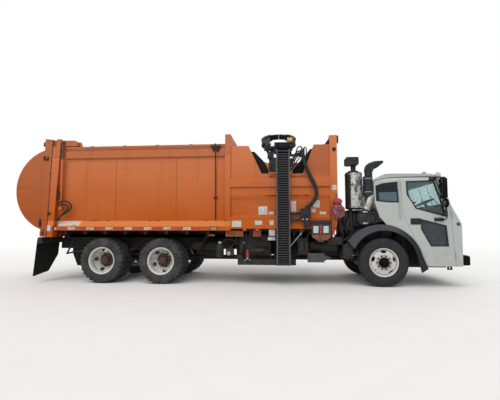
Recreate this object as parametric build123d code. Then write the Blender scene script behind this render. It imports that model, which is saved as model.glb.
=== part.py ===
from build123d import *
import math
import os

# A side-loading refuse truck, in millimetres. It stands on z = 0 with its nose towards +X,
# its kerb side towards -Y and its origin on the ground under the middle of its box.

# Wheels and axles
REAR_AXLES_X = (-2928.0, -1531.0)
STEER_AXLE_X = 3395.0
REAR_TYRE_R = 515.0
REAR_TYRE_W = 279.0
DUAL_SPACING = 340.0
DUAL_OUTER_Y = 1075.0
STEER_TYRE_R = 522.0
STEER_TYRE_W = 315.0
STEER_Y = 1030.0
BEAD_R = 290.0
RIM_WALL = 16.0
RIM_LIP_H = 20.0
RIM_LIP_T = 12.0
REAR_RIM_W = 230.0
NUT_LAND_R = 195.0
STEER_RIM_W = 250.0
SPINDLE_R = 45.0
HUB_R = 105.0
KINGPIN_Y = 850.0
KINGPIN_R = 25.0
RUN = 0.05
SEAT_SLIP = 0.3

# Chassis frame
RAIL_Y = 430.0
RAIL_W = 80.0
RAIL_H = 270.0
RAIL_TOP = 1020.0
RAIL_T = 9.0
FRAME_REAR_X = -4390.0
TAIL_BAR_X = -4500.0
FRAME_DROP_X = 3950.0
FRAME_LOW_X = 4130.0
FRAME_FRONT_X = 4975.0
FRAME_LOW_Z = (354.0, 454.7)

# Refuse body
BODY_HALF_W = 1220.0
FLOOR_TOP = 1250.0
FLOOR_T = 60.0
PANEL_OUT = BODY_HALF_W - 115
PANEL_IN = PANEL_OUT - 35
SILL_LOW = 1207.0
SILL_EDGE = 1297.0
SILL_TOP = 1433.0
RAIL_LOW_Z = 2910.0
RAIL_MID_Z = 3067.0
BODY_TOP = 3188.0
ROOF_T = 60.0
BODY_REAR_X = -4160.0
POST_REAR = (-4100.0, -4003.0)
POST_FRONT = (-62.0, 64.0)
POST_REAR_TOP = 3366.0
POST_FRONT_TOP = 3389.0

# Hopper
HOPPER_FRONT_X = 2271.0
HOPPER_POST_X = 2432.0
HOPPER_TOP = 3120.0
HOPPER_POST_TOP = 3318.0
HOPPER_LOW = 1248.0
HOPPER_IN = PANEL_IN
HOPPER_RIDGE = BODY_HALF_W + 15
HOPPER_WALL = BODY_HALF_W - 30
HOPPER_DIP = BODY_HALF_W - 55
NOTCH = ((471.0, 3120.0), (768.0, 2477.0), (1685.0, 2471.0), (1928.0, 3120.0))

# Tailgate
SEAM_TOP = (-4206.0, 3358.0)
SEAM_LOW = (-4272.0, 1050.0)
RING_TOP = (-4388.0, 3375.0)
RING_LOW = (-4436.0, 1061.0)
BULGE_X = -4128.0
BULGE_Z = 2169.0
BULGE_R = 1000.0
BULGE_W = BODY_HALF_W - 70
SKIN = 40.0
GATE_PIN = (-3680.0, 3262.0)
GATE_PIN_R = 25.0
GATE_ARM_Y = (BODY_HALF_W - 160, BODY_HALF_W - 65)
LIFT_FOOT = (-3965.0, 1720.0)
LIFT_EYE = (-3965.0, 3290.0)
LIFT_Y = BODY_HALF_W - 30
BARREL_R = 28.0
ROD_R = 19.0
BARREL_LEN = 1160.0

# Arm
MAST_X = 1245.0
MAST_HALF = 150.0
MAST_Y = -BODY_HALF_W - 80
MAST_T = 100.0
HEAD_Z = 2960.0
MAST_Z = (461.0, HEAD_Z - 40)
BEAM_Z = (470.0, 700.0)
SLEEVE_END = -BODY_HALF_W + 40
ROLL = 147.0
CHEEK_OUT = 40.0
CHEEK_SWEEP = 172.0
DRIVE_CLEAR = 10.0
GRIP_X = 1145.0
GRIP_BASE = 190.0
GRIP_HALF = 395.0
FINGER_PIN_X = 260.0
BAND_H = 120.0
BAND_T = 45.0
TIP_GAP = 6.0

# Cab
CAB_HALF_W = 1200.0
CAB_WALL = 45.0
CAB_LOW_Z = 1350.0
CAB_SIDE = (
    (3450.0, CAB_LOW_Z), (3317.0, 1511.0), (3224.0, 1822.0), (3224.0, 2299.0), (3340.0, 2395.0),
    (3498.0, 2458.0), (3700.0, 2468.0), (4420.0, 2452.0), (4540.0, 2425.0), (4626.0, 2364.0),
    (4797.0, 1748.0), (5003.0, 1344.0), (4994.0, 455.0), (4215.0, 455.0), (4190.0, CAB_LOW_Z),
)
SCREEN_TOP_Y = CAB_HALF_W - 190
DOOR_GAP = 5.0
FENDER_AT = (3335.0, 478.0)
FENDER_R = 860.0
TOW_EYE = (5063.0, 340.0)
TOW_EYE_R = 20.0
DOOR_SEAM = ((4790.0, 1729.0), (4869.0, 447.0))


def block(x0, x1, y0, y1, z0, z1):
    centre = Pos((x0 + x1) / 2, (y0 + y1) / 2, (z0 + z1) / 2)
    return centre * Box(abs(x1 - x0), abs(y1 - y0), abs(z1 - z0))


def side_plate(outline, y0, y1):
    """A plate whose outline is given as (x, z), from y0 to y1."""
    face = Plane.XZ * make_face(Polyline(*outline, close=True))
    return Pos(0, y0, 0) * extrude(face, amount=y0 - y1)


def section_bar(outline, x0, x1):
    """A bar whose section is given as (y, z), from x0 to x1."""
    face = Plane.YZ * make_face(Polyline(*outline, close=True))
    return Pos(x0, 0, 0) * extrude(face, amount=x1 - x0)


def rod_y(x, z, r, y0, y1):
    return Pos(x, (y0 + y1) / 2, z) * Rot(90, 0, 0) * Cylinder(r, abs(y1 - y0))


def rod_z(x, y, r, z0, z1):
    return Pos(x, y, (z0 + z1) / 2) * Cylinder(r, z1 - z0)


def rod_x(y, z, r, x0, x1):
    return Pos((x0 + x1) / 2, y, z) * Rot(0, 90, 0) * Cylinder(r, x1 - x0)


def other_side(shape):
    return mirror(shape, about=Plane.XZ)


def both_sides(shape):
    return shape + other_side(shape)


def spun(profile):
    """A ring turned from a (radius, axial) outline, its axis along +Z."""
    return revolve(Plane.XZ * make_face(Polyline(*profile, close=True)), Axis.Z)


def on_axle(shape, x, y, z):
    """Stand a turned wheel on its axle, its outer face away from the truck's middle."""
    turn = Rot(90, 0, 0) if y < 0 else Rot(-90, 0, 0)
    return Pos(x, y, z) * turn * shape


def tyre(radius, width, rim_width):
    """Tyre section: bead inside the rim's lip, bulged sidewall and square shoulder."""
    half = width / 2
    bead = rim_width / 2 - RIM_LIP_T - SEAT_SLIP
    side = (
        (BEAD_R + SEAT_SLIP, -bead), (BEAD_R + RIM_LIP_H + 4, -bead), (BEAD_R + 60, -half * 0.96),
        (radius * 0.82, -half), (radius - 26, -half * 0.88), (radius, -half * 0.70),
    )
    return spun(side + tuple((r, -a) for r, a in reversed(side)))


def rim_barrel(width, shift):
    half = width / 2
    lip = BEAD_R + RIM_LIP_H
    inner = BEAD_R - RIM_WALL
    profile = (
        (inner, -half), (lip, -half), (lip, -half + RIM_LIP_T), (BEAD_R, -half + RIM_LIP_T),
        (BEAD_R, half - RIM_LIP_T), (lip, half - RIM_LIP_T), (lip, half), (inner, half),
    )
    return Pos(0, 0, shift) * spun(profile)


def hand_holes(count, circle_r, hole_r, z0, z1):
    """Round holes on a circle, turned by a quarter step to stay off the disc's seam."""
    holes = Part()
    for index in range(count):
        angle = 2 * math.pi * (index + 0.4) / count
        holes += rod_z(circle_r * math.cos(angle), circle_r * math.sin(angle), hole_r, z0, z1)
    return holes


def dished_disc(meet, way):
    """A wheel disc, flat where it is bolted and coned out to its rim barrel; way is +1 or -1."""
    rim_in = BEAD_R - RIM_WALL + 1
    disc = spun((
        (HUB_R - 5, meet), (NUT_LAND_R, meet), (rim_in, meet + 70 * way), (rim_in, meet + 84 * way),
        (NUT_LAND_R - 4, meet + 14 * way), (HUB_R - 5, meet + 14 * way),
    ))
    return disc - hand_holes(5, 236, 28, meet - 95, meet + 95)


def rear_wheel_pair():
    """Both rims of a twin wheel, their dished discs meeting between the tyres, and the hub.

    The axial zero is the middle of the outer tyre."""
    meet = -DUAL_SPACING / 2
    hub = spun((
        (SPINDLE_R + RUN, meet - 60), (HUB_R, meet - 60), (HUB_R, meet + 60), (88, meet + 90),
        (88, meet + 150), (70, meet + 160), (SPINDLE_R + RUN, meet + 160),
    ))
    wheel = hub + dished_disc(meet, 1) + dished_disc(meet, -1)
    return wheel + rim_barrel(REAR_RIM_W, 0) + rim_barrel(REAR_RIM_W, -DUAL_SPACING)


def steer_wheel_disc():
    """The steer rim with its disc bulging outwards; the axial zero is the tyre's middle."""
    rim_in = BEAD_R - RIM_WALL + 1
    face = 105.0
    disc = spun((
        (80, face), (NUT_LAND_R, face), (250, face - 14), (rim_in, face - 52),
        (rim_in, face - 68), (244, face - 30), (NUT_LAND_R - 6, face - 16), (80, face - 16),
    ))
    disc -= hand_holes(5, 233, 27, 0, face + 5)
    hub = spun((
        (SPINDLE_R + RUN, -20), (92, -20), (92, face + 20), (74, face + 34), (60, face + 66),
        (SPINDLE_R + RUN, face + 66),
    ))
    return hub + disc + rim_barrel(STEER_RIM_W, 0)


def chassis_frame():
    low = RAIL_TOP - RAIL_H
    inner = RAIL_Y - RAIL_W
    channel = (
        (-RAIL_Y, low), (-RAIL_Y, RAIL_TOP), (-inner, RAIL_TOP), (-inner, RAIL_TOP - RAIL_T),
        (-RAIL_Y + RAIL_T, RAIL_TOP - RAIL_T), (-RAIL_Y + RAIL_T, low + RAIL_T),
        (-inner, low + RAIL_T), (-inner, low),
    )
    rail = section_bar(channel, FRAME_REAR_X, FRAME_DROP_X)
    z0, z1 = FRAME_LOW_Z
    drop = (
        (FRAME_DROP_X - 120, RAIL_TOP), (FRAME_DROP_X - 120, low), (FRAME_DROP_X, low),
        (FRAME_LOW_X, z0), (FRAME_FRONT_X, z0), (FRAME_FRONT_X, z1), (FRAME_LOW_X + 20, z1),
        (FRAME_DROP_X + 40, RAIL_TOP),
    )
    rail += side_plate(drop, -RAIL_Y, -RAIL_Y + 24)
    frame = both_sides(rail)
    for x in (-4100, -3500, -2230, -900, 300, 2500, 3850):
        frame += block(x - 35, x + 35, -RAIL_Y + RAIL_T, RAIL_Y - RAIL_T, low + 60, RAIL_TOP - 60)
    tail_half = BODY_HALF_W - 30
    frame += block(TAIL_BAR_X, FRAME_REAR_X, -tail_half, tail_half, 900, RAIL_TOP - 5)
    frame += both_sides(block(3470, 3530, -RAIL_Y, -RAIL_Y + 60, RAIL_TOP - 1, CAB_LOW_Z - SEAT_SLIP))
    for x in (4300, 4930):
        frame += block(x - 35, x + 35, -RAIL_Y + 24, RAIL_Y - 24, z0 + 10, z1 - 10)
    return frame


def body_floor():
    floor = block(BODY_REAR_X, HOPPER_FRONT_X, -PANEL_IN, PANEL_IN, FLOOR_TOP - FLOOR_T, FLOOR_TOP)
    sill = block(BODY_REAR_X, HOPPER_FRONT_X, -RAIL_Y, -RAIL_Y + RAIL_W, RAIL_TOP, FLOOR_TOP - FLOOR_T)
    floor += both_sides(sill)
    for step in range(13):
        x = -3900 + 490 * step
        floor += block(x - 30, x + 30, -PANEL_IN, PANEL_IN, FLOOR_TOP - FLOOR_T - 70, FLOOR_TOP - FLOOR_T)
    return floor


def body_side():
    """One long side: sill, sheet, top rail and the two end posts."""
    inside = -PANEL_IN
    rail_y = PANEL_OUT + 50
    sheet = section_bar((
        (inside, SILL_LOW), (-BODY_HALF_W, SILL_LOW), (-BODY_HALF_W, SILL_EDGE), (-PANEL_OUT, SILL_TOP),
        (-PANEL_OUT, BODY_TOP), (inside, BODY_TOP),
    ), POST_REAR[1], POST_FRONT[0])
    rail = section_bar((
        (-PANEL_OUT + 1, RAIL_LOW_Z), (-rail_y, RAIL_LOW_Z), (-rail_y, RAIL_MID_Z),
        (-rail_y + 23, RAIL_MID_Z + 10), (-rail_y + 23, BODY_TOP - 50), (-rail_y + 8, BODY_TOP - 42),
        (-rail_y + 8, BODY_TOP), (-PANEL_OUT + 1, BODY_TOP),
    ), POST_REAR[1] + 95, POST_FRONT[0])
    rear = side_plate((
        (POST_REAR[0] - 59, 1050), (POST_REAR[0] - 60, 1477), (POST_REAR[0], POST_REAR_TOP),
        (POST_REAR[1], POST_REAR_TOP), (POST_REAR[1] - 97, 1457), (POST_REAR[1] - 156, 1050),
    ), -BODY_HALF_W, inside)
    jamb = side_plate((
        (SEAM_LOW[0] + 4, 1050), (SEAM_TOP[0] + 4, 3200), (POST_REAR[0] + 30, 3200),
        (POST_REAR[0] - 30, 1050),
    ), -BODY_HALF_W + 6, inside)
    rear_fill = block(POST_REAR[1] - 110, POST_REAR[1], -PANEL_OUT, inside, SILL_LOW, BODY_TOP)
    upper_cut = block(POST_REAR[0] - 10, POST_REAR[1] + 10, -GATE_ARM_Y[1] - 10, 0, 3200, POST_REAR_TOP + 5)
    front = block(POST_FRONT[0], POST_FRONT[1], -BODY_HALF_W, inside, SILL_LOW, POST_FRONT_TOP)
    side = sheet + rail + (rear - upper_cut) + jamb + rear_fill + front
    foot = rod_y(LIFT_FOOT[0], LIFT_FOOT[1], 22 - RUN, -BODY_HALF_W, -PANEL_OUT)
    return side + foot


def body_roof():
    roof = block(POST_REAR[0], POST_FRONT[0], -PANEL_IN, PANEL_IN, BODY_TOP - ROOF_T, BODY_TOP)
    roof += block(SEAM_TOP[0] + 10, POST_REAR[0], -PANEL_IN, PANEL_IN, BODY_TOP - ROOF_T, BODY_TOP)
    roof += block(POST_FRONT[0], POST_FRONT[1], -PANEL_IN, PANEL_IN, BODY_TOP - ROOF_T, POST_FRONT_TOP)
    for x in (-3300, -2500, -1700, -900):
        roof += block(x - 40, x + 40, -PANEL_IN, PANEL_IN, BODY_TOP, BODY_TOP + 30)
    inner_y, outer_y = GATE_ARM_Y
    ear = side_plate((
        (GATE_PIN[0] - 100, BODY_TOP), (GATE_PIN[0] - 60, GATE_PIN[1] + 60),
        (GATE_PIN[0] + 60, GATE_PIN[1] + 60), (GATE_PIN[0] + 110, BODY_TOP),
    ), -inner_y + 8, -inner_y + 80)
    pin = rod_y(GATE_PIN[0], GATE_PIN[1], GATE_PIN_R, -outer_y - 3, -inner_y + 40)
    return roof + both_sides(ear + pin)


def hopper_side(notched):
    """The folded side of the hopper; the kerb side has the notch that the arm tips through."""
    wall = section_bar((
        (-HOPPER_IN, HOPPER_LOW), (-BODY_HALF_W + 5, HOPPER_LOW), (-BODY_HALF_W + 5, 1500),
        (-HOPPER_DIP, 1554), (-HOPPER_DIP, 1900), (-HOPPER_WALL - 5, 1990), (-HOPPER_WALL, 2180),
        (-HOPPER_RIDGE, 2184), (-HOPPER_RIDGE, 2350), (-HOPPER_WALL, 2385), (-HOPPER_WALL, HOPPER_TOP),
        (-HOPPER_IN, HOPPER_TOP),
    ), POST_FRONT[1], HOPPER_FRONT_X)
    if notched:
        (x0, z0), (x1, z1), (x2, z2), (x3, z3) = NOTCH
        wall -= side_plate(((x0, z0 + 9), (x0, z0), (x1, z1), (x2, z2), (x3, z3), (x3, z3 + 9)),
                           -BODY_HALF_W - 40, -HOPPER_IN + 20)
    return wall


def hopper_front():
    wall = block(HOPPER_FRONT_X, HOPPER_FRONT_X + 60, -HOPPER_IN, HOPPER_IN, 1020, HOPPER_TOP + 60)
    post = block(HOPPER_FRONT_X, HOPPER_POST_X, -BODY_HALF_W, -HOPPER_IN, 1554, HOPPER_POST_TOP)
    leg = side_plate((
        (HOPPER_FRONT_X + 10, 1554), (HOPPER_POST_X - 10, 1554), (HOPPER_POST_X - 20, 1350),
        (HOPPER_FRONT_X + 70, 1110), (HOPPER_FRONT_X + 30, 1110),
    ), -BODY_HALF_W, -HOPPER_IN)
    return wall + both_sides(post + leg)


def notch_guards():
    """Rubber-faced plates on the inner face of the hopper side along the notch."""
    rear = ((480, 3017), (599, 3004), (924, 2657), (913, 2504), (725, 2495))
    front = ((1935, 3062), (1850, 3040), (1735, 2880), (1500, 2650), (1440, 2500), (1690, 2494))
    inner = -HOPPER_IN + SEAT_SLIP
    return side_plate(rear, inner, inner + 14) + side_plate(front, inner, inner + 14)


def tailgate():
    outline = (SEAM_TOP, SEAM_LOW, RING_LOW, RING_TOP)
    ring = side_plate(outline, -BODY_HALF_W, BODY_HALF_W)
    bulge = rod_y(BULGE_X, BULGE_Z, BULGE_R, -BULGE_W, BULGE_W)
    bulge -= block(RING_LOW[0] + 20, BULGE_X + BULGE_R + 50, -BODY_HALF_W, BODY_HALF_W, 1000, 3400)
    hollow = rod_y(BULGE_X, BULGE_Z, BULGE_R - SKIN, -PANEL_IN, PANEL_IN)
    gate = ring + bulge - hollow
    inner_y, outer_y = GATE_ARM_Y
    arm = side_plate((
        (RING_TOP[0] + 30, 3225), (RING_TOP[0] + 30, 3361), (GATE_PIN[0] - 10, 3340),
        (GATE_PIN[0] + 50, 3300), (GATE_PIN[0] + 50, 3225), (GATE_PIN[0] + 20, 3205),
        (GATE_PIN[0] - 30, 3205),
    ), -outer_y, -inner_y)
    arm -= rod_y(GATE_PIN[0], GATE_PIN[1], GATE_PIN_R + RUN, -outer_y - 5, -inner_y + 5)
    return gate + both_sides(arm)


def lift_barrels():
    x, z = LIFT_FOOT
    barrel = rod_z(x, -LIFT_Y, BARREL_R, z - 45, z + BARREL_LEN)
    barrel -= rod_z(x, -LIFT_Y, ROD_R + RUN, z + 90, z + BARREL_LEN + 5)
    eye = rod_y(x, z, 45, -LIFT_Y - BARREL_R, -LIFT_Y + BARREL_R)
    barrel = barrel + eye - rod_y(x, z, 22, -LIFT_Y - 60, -LIFT_Y + 60)
    return both_sides(barrel)


def lift_rods():
    x, z = LIFT_EYE
    rod = rod_z(x, -LIFT_Y, ROD_R, z - 1420, z)
    eye = rod_y(x, z, 34, -LIFT_Y - 26, -LIFT_Y + 26)
    stub = rod_y(x, z, 20, -LIFT_Y, -GATE_ARM_Y[1] - SEAT_SLIP - 0.2)
    return both_sides(rod + eye + stub)


def packer_blade():
    """The paddle that sweeps the hopper, with its sloping top and side cheeks."""
    half = PANEL_IN - 10
    low = FLOOR_TOP + SEAT_SLIP
    blade = side_plate((
        (1700, low), (1640, 1500), (1700, 2050), (2190, 2150), (2190, 2110), (1740, 2012),
        (1682, 1500), (1735, low + 40), (2190, low + 40), (2190, low),
    ), -half, half)
    for y in (-half, -350, 350 - 20, half - 20):
        blade += side_plate(((1700, low), (1650, 1500), (1710, 2030), (2190, 2130), (2190, low)), y, y + 20)
    return blade


def cab_outer():
    """The cab's outside: its side outline, narrowed towards the roof."""
    side = side_plate(CAB_SIDE, -CAB_HALF_W, CAB_HALF_W)
    half = CAB_HALF_W
    front_view = section_bar((
        (-half, 300), (-half, 1750), (-half + 40, 2300), (-half + 75, 2400), (-half + 190, 2480),
        (half - 190, 2480), (half - 75, 2400), (half - 40, 2300), (half, 1750), (half, 300),
    ), 3000, 5200)
    return side & front_view


def cab_inner():
    wall = CAB_WALL
    side = side_plate((
        (3471, CAB_LOW_Z + wall), (3355, 1535), (3224 + wall, 1829), (3224 + wall, 2278), (3364, 2356),
        (3508, 2413), (3700, 2423), (4412, 2407), (4520, 2384), (4588, 2338),
        (4753, 1738), (5003 - wall, 1334), (4994 - wall, 455 + wall),
        (4215 + wall, 455 + wall), (4190 + wall, CAB_LOW_Z + wall),
    ), -CAB_HALF_W + wall, CAB_HALF_W - wall)
    half = CAB_HALF_W - wall
    front_view = section_bar((
        (-half, 300), (-half, 1750), (-half + 40, 2290), (-half + 66, 2372), (-half + 165, 2435),
        (half - 165, 2435), (half - 66, 2372), (half - 40, 2290), (half, 1750), (half, 300),
    ), 3000, 5200)
    return side & front_view


def door_outline(grow):
    """The door's outline as (x, z), grown outwards by a gap."""
    top, low = DOOR_SEAM
    return (
        (3776 - grow, 2362 + grow), (4575 + grow * 0.6, 2362 + grow), (top[0] - 10 + grow, top[1]),
        (low[0] - 10 + grow, low[1] - 60 - grow), (4290 - grow, low[1] - 60 - grow), (4290 - grow, 480),
        (3792 - grow, 1591),
    )


DOOR_WINDOW = ((3914, 1990), (3912, 2262), (4470, 2275), (4683, 1520), (4083, 1692))
LOWER_WINDOW = ((4181, 1436), (4673, 1304), (4705, 893), (4368, 891), (4184, 1243))
QUARTER_WINDOW = ((3272, 2170), (3400, 2215), (3693, 2247), (3704, 1836), (3500, 1838), (3272, 1868))


def cab_pieces():
    """The cab shell cut where its panels meet: back, roof, front and floor, then the doors."""
    shell = cab_outer() - cab_inner()
    half = CAB_HALF_W
    top = CAB_LOW_Z + 1
    skirt = side_plate(((3449, 1200), (3449, top), (4192, top), (4217, 456), (4100, 456)),
                       -half, -half + CAB_WALL)
    skirt -= rod_y(FENDER_AT[0], FENDER_AT[1], FENDER_R + 6, -half - 5, -half + 60)
    skirt -= block(3900, 4166, -half - 100, -half + 100, 300, 705)
    shell += both_sides(skirt)
    half = CAB_HALF_W + 20
    near = (-half, -CAB_HALF_W + CAB_WALL + 60)
    windows = side_plate(QUARTER_WINDOW, *near)
    shell -= both_sides(windows)
    shell -= section_bar(((-700, 1780), (-700, 2200), (700, 2200), (700, 1780)), 3200, 3300)
    low_y, top_y = CAB_HALF_W - 160, SCREEN_TOP_Y
    screen = section_bar(((-low_y, 1790), (-top_y, 2290), (top_y, 2290), (low_y, 1790)), 4560, 4900)
    shell -= screen
    opening = side_plate(door_outline(DOOR_GAP / 2), *near)
    leaf = side_plate(door_outline(-DOOR_GAP / 2), *near)
    door = shell & leaf
    shell -= both_sides(opening)
    door -= side_plate(DOOR_WINDOW, *near)
    door -= side_plate(LOWER_WINDOW, *near)
    roof = shell & block(3000, 5200, -half, half, 2362, 2700)
    rest = shell - block(3000, 5200, -half, half, 2362, 2700)
    floor = rest & block(3790, 5200, -CAB_HALF_W + CAB_WALL + 1, CAB_HALF_W - CAB_WALL - 1, 300, 500)
    floor += rest & block(3200, 4262, -CAB_HALF_W + CAB_WALL + 1, CAB_HALF_W - CAB_WALL - 1, 500, 1396)
    rest -= block(3200, 5200, -CAB_HALF_W + CAB_WALL + 1, CAB_HALF_W - CAB_WALL - 1, 300, 500)
    rest -= block(3200, 4262, -CAB_HALF_W + CAB_WALL + 1, CAB_HALF_W - CAB_WALL - 1, 300, 1396)
    back = rest & block(3000, 4300, -half, half, 300, 2700)
    front = rest & block(4300, 5300, -half, half, 300, 2700)
    return back, roof, front, floor, door


def cab_glass():
    quarter = both_sides(side_plate(QUARTER_WINDOW, -CAB_HALF_W + 12, -CAB_HALF_W + 18))
    back = block(3240, 3246, -700, 700, 1780, 2200)
    (x0, z0), (x1, z1) = (4626.0, 2364.0), (4797.0, 1748.0)
    slope = (x1 - x0) / (z1 - z0)
    screen = side_plate((
        (x0 + (2290 - z0) * slope - 20, 2290), (x0 + (2290 - z0) * slope - 13, 2290),
        (x0 + (1790 - z0) * slope - 13, 1790), (x0 + (1790 - z0) * slope - 20, 1790),
    ), -SCREEN_TOP_Y, SCREEN_TOP_Y)
    return quarter + back + screen


def door_glass():
    upper = side_plate(DOOR_WINDOW, -CAB_HALF_W + 40, -CAB_HALF_W + 45)
    lower = side_plate(LOWER_WINDOW, -CAB_HALF_W + 12, -CAB_HALF_W + 17)
    return upper + lower


def mirrors():
    """Flat mirror, round mirror and the tube arm that stands them off the door."""
    y = -CAB_HALF_W - 175
    flat = block(4540, 4600, y - 65, y + 85, 1898, 2300)
    flat = fillet(flat.edges().filter_by(Axis.X), 24)
    convex = Pos(4600, y, 1779) * Sphere(75)
    door_side = -CAB_HALF_W + 10
    arm = block(4590, 4620, y - 25, door_side - 15, 2310, 2335) + block(4560, 4590, y - 25, y + 5, 2290, 2335)
    arm += block(4605, 4635, y - 15, y + 15, 1560, 1900) + block(4605, 4635, y - 15, door_side, 1535, 1562)
    arm += block(4575, 4620, y - 15, y + 15, 1850, 1905)
    return flat + convex + arm


def cab_interior():
    y = -CAB_HALF_W + 420
    dash_half = CAB_HALF_W - 110
    cushion = block(4264, 4660, y - 220, y + 220, 900, 1010)
    back = side_plate(((4264, 1010), (4362, 1010), (4340, 1720), (4266, 1720)), y - 220, y + 220)
    seat = cushion + back + block(4280, 4580, y - 120, y + 120, 500, 900)
    dash = side_plate(((4800, 1150), (4790, 1300), (4815, 1330), (4930, 1330), (4930, 1150)),
                      -dash_half, dash_half)
    dash += block(4860, 4930, -400, 400, 500, 1150)
    ring = Torus(205, 16)
    column = Pos(0, 0, -160) * Cylinder(28, 320) + Box(400, 30, 14) + Box(30, 400, 14)
    column += Pos(0, 0, -420) * Cylinder(24, 300)
    wheel = Pos(4600, y, 1420) * Rot(0, -24, 0) * (ring + column)
    wheel += block(4790, 4900, y - 70, y + 70, 880, 1160)
    return both_sides(seat + wheel) + dash


def fender():
    """Band over the steer wheel with a wide lip facing outwards and a straight front tail."""
    x, z = FENDER_AT
    lip_in, band_in, lip_out = -CAB_HALF_W - SEAT_SLIP, -CAB_HALF_W + 330, -CAB_HALF_W - 30
    ring = rod_y(x, z, FENDER_R, lip_out, band_in)
    ring -= rod_y(x, z, FENDER_R - 20, lip_in, band_in + 10)
    ring -= rod_y(STEER_AXLE_X, STEER_TYRE_R, 690, lip_out - 10, band_in + 10)
    keep = side_plate(((2590, 1030), (2831, 741), (3395, 522), (3955, 702), (4300, 702), (4300, 1500),
                       (2400, 1500), (2400, 1030)), lip_out - 10, band_in + 10)
    tail = side_plate(((4061, 703), (4165, 703), (4284, 402), (4151, 320)), lip_out, lip_in)
    return (ring & keep) + tail


def bumper():
    """Hollow-backed bumper bar on two frame brackets, each with a tow eye below it."""
    half = CAB_HALF_W - 20
    bar = block(5010, 5127, -half, half, 478, 684)
    bar = fillet(bar.edges().filter_by(Axis.Z).group_by(Axis.X)[-1], 60)
    bar -= block(5005, 5115, -half + 60, half - 60, 490, 672)
    for y in (-RAIL_Y + 24, RAIL_Y - 24):
        bar += block(FRAME_FRONT_X, 5116, y - 60, y + 60, 385, 450)
        bar += block(5010, 5116, y - 60, y + 60, 440, 500)
        eye = block(5010, 5116, y - 12, y + 12, TOW_EYE[1] - 42, 386)
        bar += eye - rod_y(TOW_EYE[0], TOW_EYE[1], TOW_EYE_R, y - 20, y + 20)
    return bar


def front_axle():
    z = STEER_TYRE_R
    beam = block(STEER_AXLE_X - 55, STEER_AXLE_X + 55, -720, 720, z - 130, z - 40)
    end = block(STEER_AXLE_X - 45, STEER_AXLE_X + 45, -KINGPIN_Y + 20, -700, z - 55, z + 30)
    end += block(STEER_AXLE_X - 45, STEER_AXLE_X + 45, -780, -700, z - 130, z - 40)
    end += rod_z(STEER_AXLE_X, -KINGPIN_Y, 48, z - 60, z + 60)
    end += rod_z(STEER_AXLE_X, -KINGPIN_Y, KINGPIN_R, z - 115, z + 115)
    beam += both_sides(end)
    for y in (-RAIL_Y + 40, RAIL_Y - 40):
        beam += block(STEER_AXLE_X - 700, STEER_AXLE_X + 500, y - 38, y + 38, z - 40, z + 20)
        beam += block(STEER_AXLE_X - 690, STEER_AXLE_X - 620, y - 30, y + 30, z + 20, RAIL_TOP - RAIL_H)
        beam += block(STEER_AXLE_X + 430, STEER_AXLE_X + 490, y - 30, y + 30, z + 20, RAIL_TOP - RAIL_H)
    return beam


def knuckle():
    """Fork round the axle's end boss, with the spindle that carries the wheel."""
    z = STEER_TYRE_R
    x = STEER_AXLE_X
    upper = rod_z(x, -KINGPIN_Y, 50, z + 60 + SEAT_SLIP, z + 105)
    lower = rod_z(x, -KINGPIN_Y, 50, z - 105, z - 60 - SEAT_SLIP)
    yoke = block(x - 50, x + 50, -KINGPIN_Y - 105, -KINGPIN_Y - 55, z - 105, z + 105)
    yoke += block(x - 40, x + 40, -KINGPIN_Y - 60, -KINGPIN_Y, z + 60 + SEAT_SLIP, z + 105)
    yoke += block(x - 40, x + 40, -KINGPIN_Y - 60, -KINGPIN_Y, z - 105, z - 60 - SEAT_SLIP)
    arm = block(x - 260, x - 30, -KINGPIN_Y - 20, -KINGPIN_Y + 25, z - 105, z - 75)
    fork = upper + lower + yoke + arm
    fork -= rod_z(x, -KINGPIN_Y, KINGPIN_R + RUN, z - 120, z + 120)
    spindle = rod_y(x, z, SPINDLE_R, -STEER_Y - 150, -KINGPIN_Y - 60)
    return fork + spindle


def rear_axles():
    z = REAR_TYRE_R
    end_y = DUAL_OUTER_Y - DUAL_SPACING / 2 + 150
    axles = Part()
    for x in REAR_AXLES_X:
        axles += block(x - 75, x + 75, -620, 620, z - 70, z + 70)
        axles += rod_y(x, z, SPINDLE_R, -end_y, end_y)
        axles += Pos(x, 0, z) * Sphere(190)
    middle = sum(REAR_AXLES_X) / 2
    x0, x1 = REAR_AXLES_X[0], REAR_AXLES_X[1]
    for y in (-RAIL_Y + 40, RAIL_Y - 40):
        axles += block(x0 - 60, x1 + 60, y - 45, y + 45, z + 65, z + 125)
        axles += block(middle - 110, middle + 110, y - 60, y + 60, z + 100, RAIL_TOP - RAIL_H)
    axles += rod_x(0, z + 10, 55, x1, 2950)
    axles += rod_x(0, z + 10, 55, x0, x1)
    return axles


def engine_block():
    block_half = 340
    engine = block(2950, 3800, -block_half, block_half, 640, 1240)
    flange_top = RAIL_TOP - RAIL_H + RAIL_T + SEAT_SLIP
    for x in (3100, 3650):
        lug = block(x - 50, x + 50, -RAIL_Y + 20, -block_half + 5, flange_top, flange_top + 40)
        engine += both_sides(lug)
    return engine


def exhaust_stack():
    """Upright silencer with domed ends, its neck, clamp plate and box-shaped rain cap."""
    x, y = 2815.0, -BODY_HALF_W + 220
    can_r, can_low, can_top = 186, 1677, 2506
    can = spun((
        (0, can_low), (can_r - 30, can_low), (can_r, can_low + 25), (can_r, can_top - 25),
        (can_r - 30, can_top), (0, can_top),
    ))
    stack = Pos(x, y, 0) * can + rod_z(x, y, 56, can_top - 5, 2680)
    stack += rod_z(x - 6, y, 108, can_top + 10, can_top + 28)
    cap = block(x - 178, x + 103, y - 125, y + 125, 2661, 2838)
    stack += chamfer(cap.edges().filter_by(Axis.Y), 22)
    stack += rod_z(x - 75, y, 50, 1250, can_low + 5)
    stack += block(HOPPER_FRONT_X + 60, x - 35, y - 40, y + 40, 1215, 1300)
    return stack


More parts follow.
